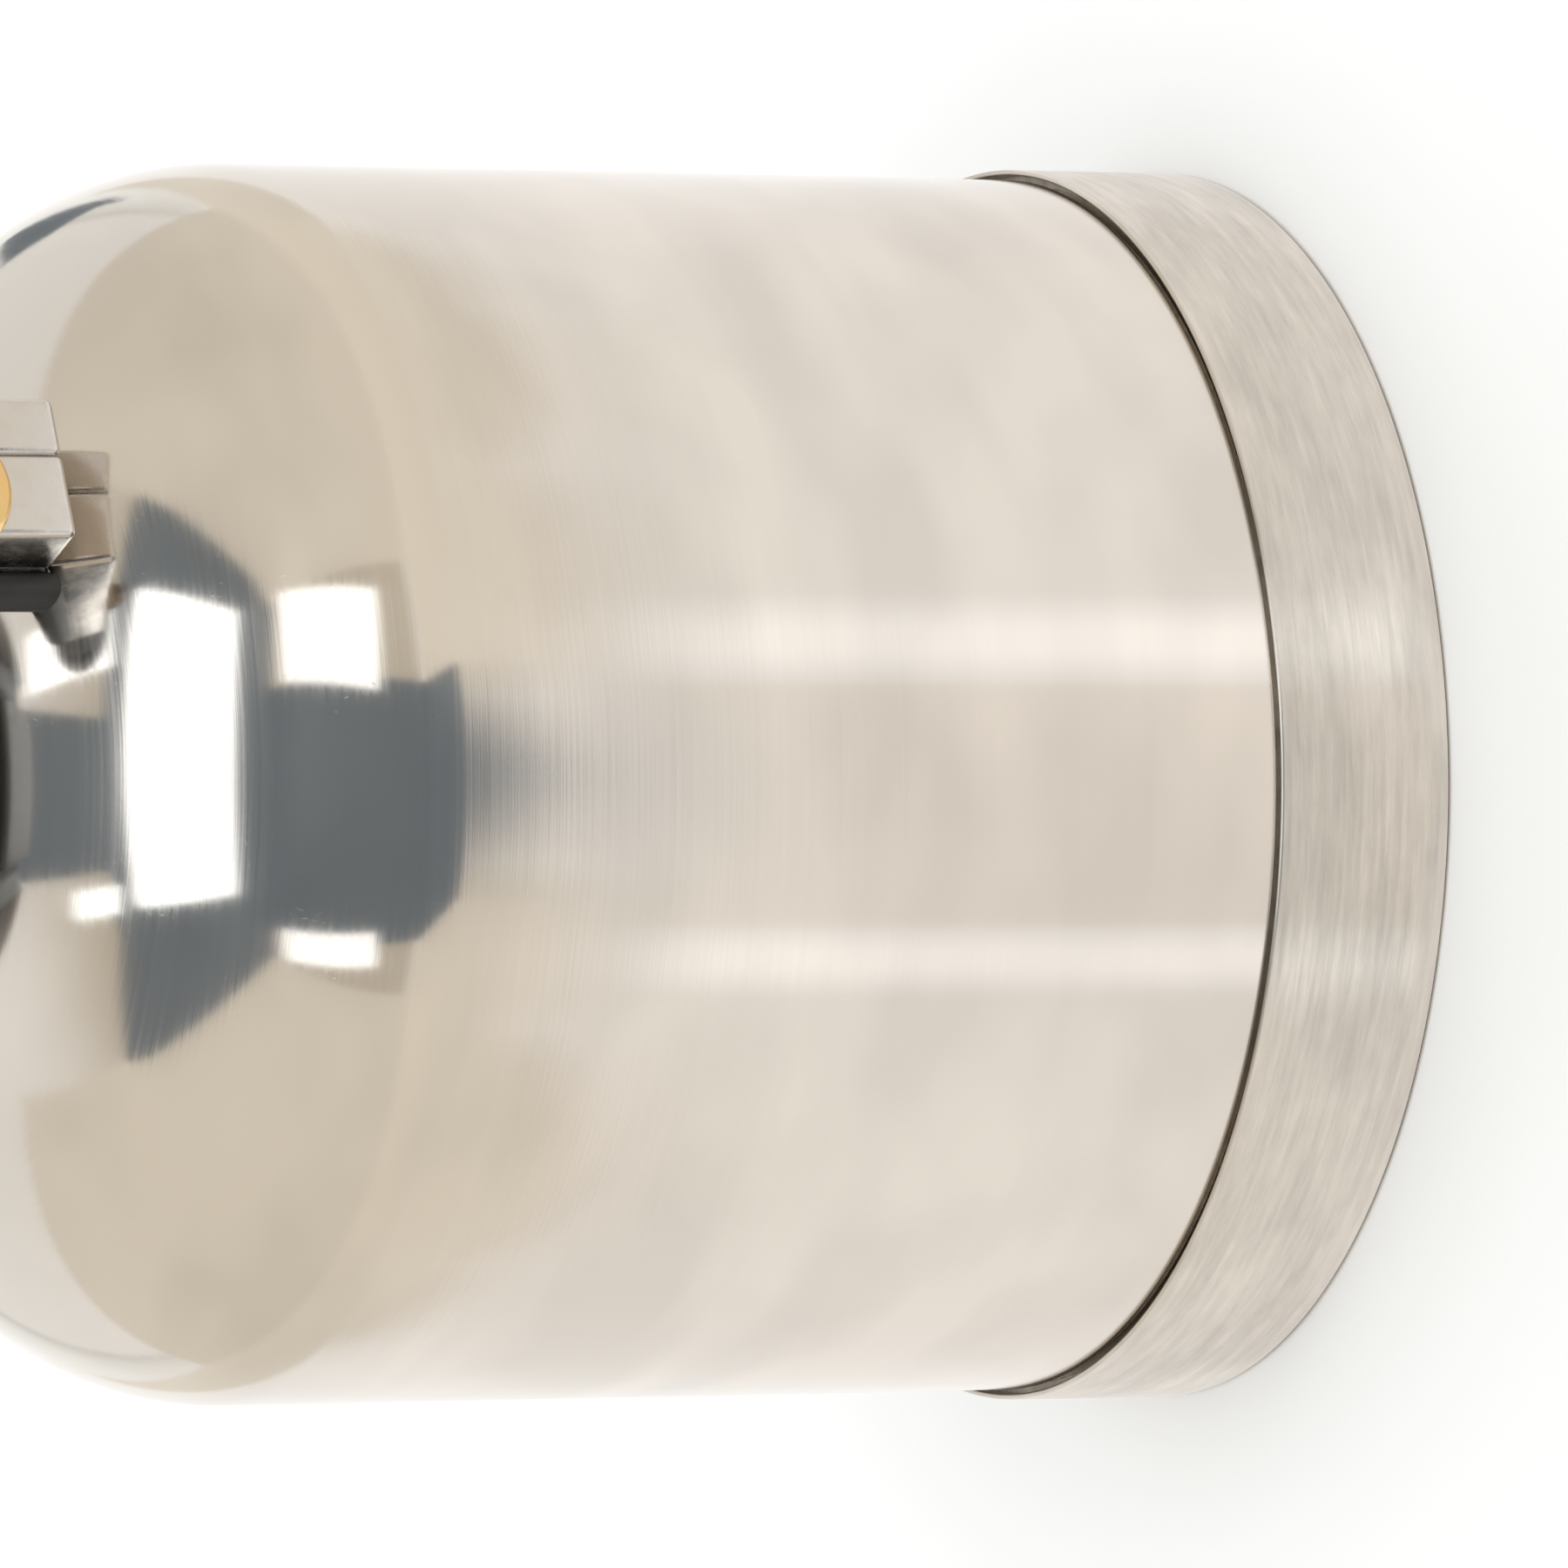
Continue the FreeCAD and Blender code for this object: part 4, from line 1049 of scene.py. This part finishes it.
def plain(name, tone):
    """Matt paint with no shine at all."""
    material = bpy.data.materials.new(name)
    material.use_nodes = True
    shader = material.node_tree.nodes["Principled BSDF"]
    shader.inputs["Base Color"].default_value = (*tone, 1)
    shader.inputs["Roughness"].default_value = 0.9
    shader.inputs["Specular IOR Level"].default_value = 0.0
    return material


def card(name, corners, material, seen=False):
    """A flat panel of the studio, met only by reflections unless it is seen."""
    bm = bmesh.new()
    bm.faces.new([bm.verts.new(c) for c in corners])
    mesh = bpy.data.meshes.new(name)
    bm.to_mesh(mesh)
    bm.free()
    mesh.materials.append(material)
    obj = bpy.data.objects.new(name, mesh)
    bpy.context.scene.collection.objects.link(obj)
    obj.visible_camera = seen
    obj.visible_shadow = seen
    obj.visible_diffuse = seen
    return obj


def area_light(name, place, aim, width, height, watts):
    """A cool rectangular light that reflections don't meet."""
    data = bpy.data.lights.new(name, "AREA")
    data.shape = "RECTANGLE"
    data.size = width
    data.size_y = height
    data.energy = watts
    data.color = (0.92, 0.965, 1.0)
    obj = bpy.data.objects.new(name, data)
    obj.location = place
    obj.rotation_euler = (Vector(place) - Vector(aim)).to_track_quat("Z", "Y").to_euler()
    obj.visible_glossy = False
    bpy.context.scene.collection.objects.link(obj)
    return obj


def studio_world():
    """A pale room: white behind the object and warm beige at its sides."""
    world = bpy.data.worlds.new("studio")
    world.use_nodes = True
    tree = world.node_tree
    background = tree.nodes["Background"]
    direction = tree.nodes.new("ShaderNodeTexCoord").outputs["Generated"]
    split = tree.nodes.new("ShaderNodeSeparateXYZ")
    tree.links.new(direction, split.inputs["Vector"])
    behind = tree.nodes.new("ShaderNodeMapRange")
    behind.interpolation_type = "SMOOTHSTEP"
    behind.inputs["From Min"].default_value = -0.05
    behind.inputs["From Max"].default_value = 0.45
    tree.links.new(split.outputs["Y"], behind.inputs["Value"])
    tones = tree.nodes.new("ShaderNodeValToRGB")
    tones.color_ramp.elements[0].color = (0.64, 0.585, 0.495, 1)
    tones.color_ramp.elements[1].color = (1.0, 0.99, 0.97, 1)
    tree.links.new(behind.outputs["Result"], tones.inputs["Fac"])
    tree.links.new(tones.outputs["Color"], background.inputs["Color"])
    background.inputs["Strength"].default_value = 1.0
    bpy.context.scene.world = world


def level(z, *corners):
    return [(x, y, z) for x, y in corners]


def upright(y, *corners):
    return [(x, y, z) for x, z in corners]


def floor_sector(z, radius, start, end):
    """The strip of floor that an upright band of the cylinder picks up, between two bearings in degrees."""
    near, far = 0.01, 0.36
    edges = []
    for angle, reaches in ((start, (near, far)), (end, (far, near))):
        foot = radians(angle)
        edges += [
            (radius * sin(foot) + reach * sin(2 * foot), -radius * cos(foot) - reach * cos(2 * foot), z)
            for reach in reaches
        ]
    return edges


# Planes of the room: its lamps, its front and back, its side walls and how far they reach
LAMP_Z = 1.60
FRONT_Y = -1.47
BACK_Y = 0.90
LEFT_X = -1.10
RIGHT_X = 1.20
WALL_FRONT_Y = -1.5
WALL_Z = 1.7

# The pale stretch of floor in front of the object and two bright bands, glowing strips that paint the
# cylinder's highlight bands, as bearings in degrees
PALE = (-14.5, 11.0)
BANDS = (("left", -16.3, 1.0), ("right", 13.4, 1.25))
BAND_STEPS = ((3.2, 1.06), (2.5, 1.13), (1.8, 1.20), (1.1, 1.26))


def overhead(glow, soft, dark):
    """Windows and lamps above and in front, and the dark frames round them."""
    card("softbox", level(LAMP_Z, (-0.53, -1.05), (0.88, -1.02), (0.70, -0.20), (-0.42, -0.27)), glow)
    card("pane_right", level(LAMP_Z, (0.24, 0.33), (0.42, 0.39), (0.57, -0.08), (0.38, -0.14)), glow)
    card("pane_left", level(LAMP_Z, (-0.41, 0.10), (-0.32, 0.08), (-0.32, -0.19), (-0.42, -0.17)), glow)
    card("flag_round", level(LAMP_Z + 0.02, (-1.06, 0.01), (-1.28, -0.95), (-1.17, -1.53), (1.09, -1.46),
                             (1.29, -0.95), (1.15, -0.01), (0.76, -0.07), (-0.52, -0.15)), dark)
    card("flag_over", level(LAMP_Z + 0.05, (-0.28, -0.2), (0.21, -0.2), (0.21, 1.2), (-0.28, 1.2)), dark)
    strip_y = FRONT_Y + 0.02
    card("strip_right", upright(strip_y, (0.57, 1.44), (1.21, 1.53), (0.98, 0.37), (0.42, 0.43)), soft)
    card("strip_left", upright(strip_y, (-1.04, 1.41), (-0.83, 1.44), (-0.69, 0.42), (-0.89, 0.38)), soft)
    card("flag_front", upright(FRONT_Y, (-0.90, 1.75), (0.57, 1.75), (0.46, 0.0), (-0.73, 0.0)), dark)


def underfoot(radius, wall, dark):
    """What the cylinder picks up from the floor: a beige room, a shade, a white sheet and bright glowing
    bands that paint its highlight bands.
    """
    card("floor_beyond", level(0.0003, (LEFT_X, BACK_Y), (LEFT_X, FRONT_Y), (RIGHT_X, FRONT_Y),
                               (RIGHT_X, BACK_Y)), wall)
    card("floor_shade", level(0.0004, (-0.20, -0.60), (0.02, -0.545), (0.22, -0.60), (0.46, FRONT_Y),
                              (-0.73, FRONT_Y)), dark)
    sheet = level(0.0005, (-0.44, BACK_Y), (-0.50, -0.01), (-0.35, -0.41), (-0.16, -0.50), (-0.12, -0.55),
                  (0.02, -0.55), (0.14, -0.55), (0.18, -0.50), (0.43, -0.31), (0.50, -0.01), (0.44, BACK_Y))
    card("paper", sheet, emissive("paper_white", 0.99, (1.0, 0.985, 0.97)))
    card("paper_warm", floor_sector(0.0006, radius, *PALE), emissive("paper_warm", 0.97, (1.0, 0.96, 0.91)))
    # Glowing strips on the floor, brighter than the paper, which the brushed cylinder smears into painted
    # highlight bands running down it
    for side, bearing, spread in BANDS:
        for step, (half, strength) in enumerate(BAND_STEPS):
            name = "highlight_band_" + side + "_" + str(step)
            start, end = bearing - half * spread, bearing + half * spread
            card(name, floor_sector(0.0007 + 0.00005 * step, radius, start, end), emissive(name, strength))


def surroundings(radius):
    """Glowing and dark panels that the polished dome and cylinder pick up."""
    glow = emissive("panel_glow", 2.2, (0.93, 0.97, 1.0))
    soft = emissive("strip_glow", 1.9, (0.96, 0.98, 1.0))
    dark = emissive("blue_flag", 0.22, (0.72, 0.86, 1.0))
    wall = emissive("warm_wall", 0.80, (1.0, 0.935, 0.825))
    overhead(glow, soft, dark)
    underfoot(radius, wall, dark)
    card("flag_back", upright(1.20, (0.92, 0.03), (0.82, 0.06), (0.79, 0.20), (0.69, 0.27), (0.47, 0.02),
                              (0.54, -0.06)), dark)
    for name, x in (("wall_left", LEFT_X), ("wall_right", RIGHT_X)):
        corners = ((WALL_FRONT_Y, 0), (BACK_Y, 0), (BACK_Y, WALL_Z), (WALL_FRONT_Y, WALL_Z))
        card(name, [(x, y, z) for y, z in corners], wall)


def aimed_camera(s):
    """A camera in front, laid on its side."""
    data = bpy.data.cameras.new("camera")
    data.lens = s.lens
    data.sensor_width = 36
    data.clip_end = 50
    camera = bpy.data.objects.new("camera", data)
    back = Vector((0, -cos(s.view_elevation), sin(s.view_elevation)))
    up = Vector((1, 0, 0))
    right = up.cross(back)
    aim = Vector((0.00015, 0, s.view_height))
    place = aim + back * s.view_distance
    camera.matrix_world = Matrix.Translation(place) @ Matrix((right, up, back)).transposed().to_4x4()
    bpy.context.scene.collection.objects.link(camera)
    bpy.context.scene.camera = camera


class POT_OT_stage(bpy.types.Operator):
    """Set up the floor, the soft studio lights and the camera"""

    bl_idname = "pot.stage"
    bl_label = "Studio"

    def execute(self, context):
        s = context.scene.pot_stage
        corners = level(0, (-3.0, -1.8), (3.0, -1.8), (3.0, 4.0), (-3.0, 4.0))
        card("floor", corners, plain("floor_paint", tuple(s.floor)), seen=True)
        surroundings(context.scene.pot_vessel.body_radius)
        area_light("key", (0.1, -0.7, 2.4), (0, 0.1, 0), 2.4, 1.8, s.key_power)
        area_light("fill_back", (0.0, 2.2, 2.0), (0, 0.2, 0), 3.0, 1.5, s.fill_power)
        studio_world()
        aimed_camera(s)
        context.scene.view_settings.view_transform = "Standard"
        return {"FINISHED"}


# ---- panel and run

OPERATORS = [
    POT_OT_stage, POT_OT_vessel, POT_OT_closure, POT_OT_gauge, POT_OT_air_side, POT_OT_outlet, POT_OT_relief,
]


class POT_PT_panel(bpy.types.Panel):
    """Pieces of the pressure pot"""

    bl_idname = "POT_PT_panel"
    bl_label = "Pressure pot"
    bl_space_type = "VIEW_3D"
    bl_region_type = "UI"
    bl_category = "Pressure pot"

    def draw(self, context):
        for operator in OPERATORS:
            self.layout.operator(operator.bl_idname)


SETTINGS = {"pot_vessel": VesselSettings, "pot_fitting": FittingSettings, "pot_stage": StageSettings}


def register():
    for name, group in SETTINGS.items():
        bpy.utils.register_class(group)
        setattr(bpy.types.Scene, name, PointerProperty(type=group))
    for operator in OPERATORS:
        bpy.utils.register_class(operator)
    bpy.utils.register_class(POT_PT_panel)


def unregister():
    bpy.utils.unregister_class(POT_PT_panel)
    for operator in reversed(OPERATORS):
        bpy.utils.unregister_class(operator)
    for name, group in SETTINGS.items():
        delattr(bpy.types.Scene, name)
        bpy.utils.unregister_class(group)


def main():
    register()
    prepare_finishes(bpy.context.scene.pot_vessel, bpy.context.scene.pot_fitting)
    bpy.ops.pot.stage()
    bpy.ops.pot.vessel()
    bpy.ops.pot.closure()
    bpy.ops.pot.gauge()
    bpy.ops.pot.air_side()
    bpy.ops.pot.outlet()
    bpy.ops.pot.relief()


if __name__ == "__main__":
    main()
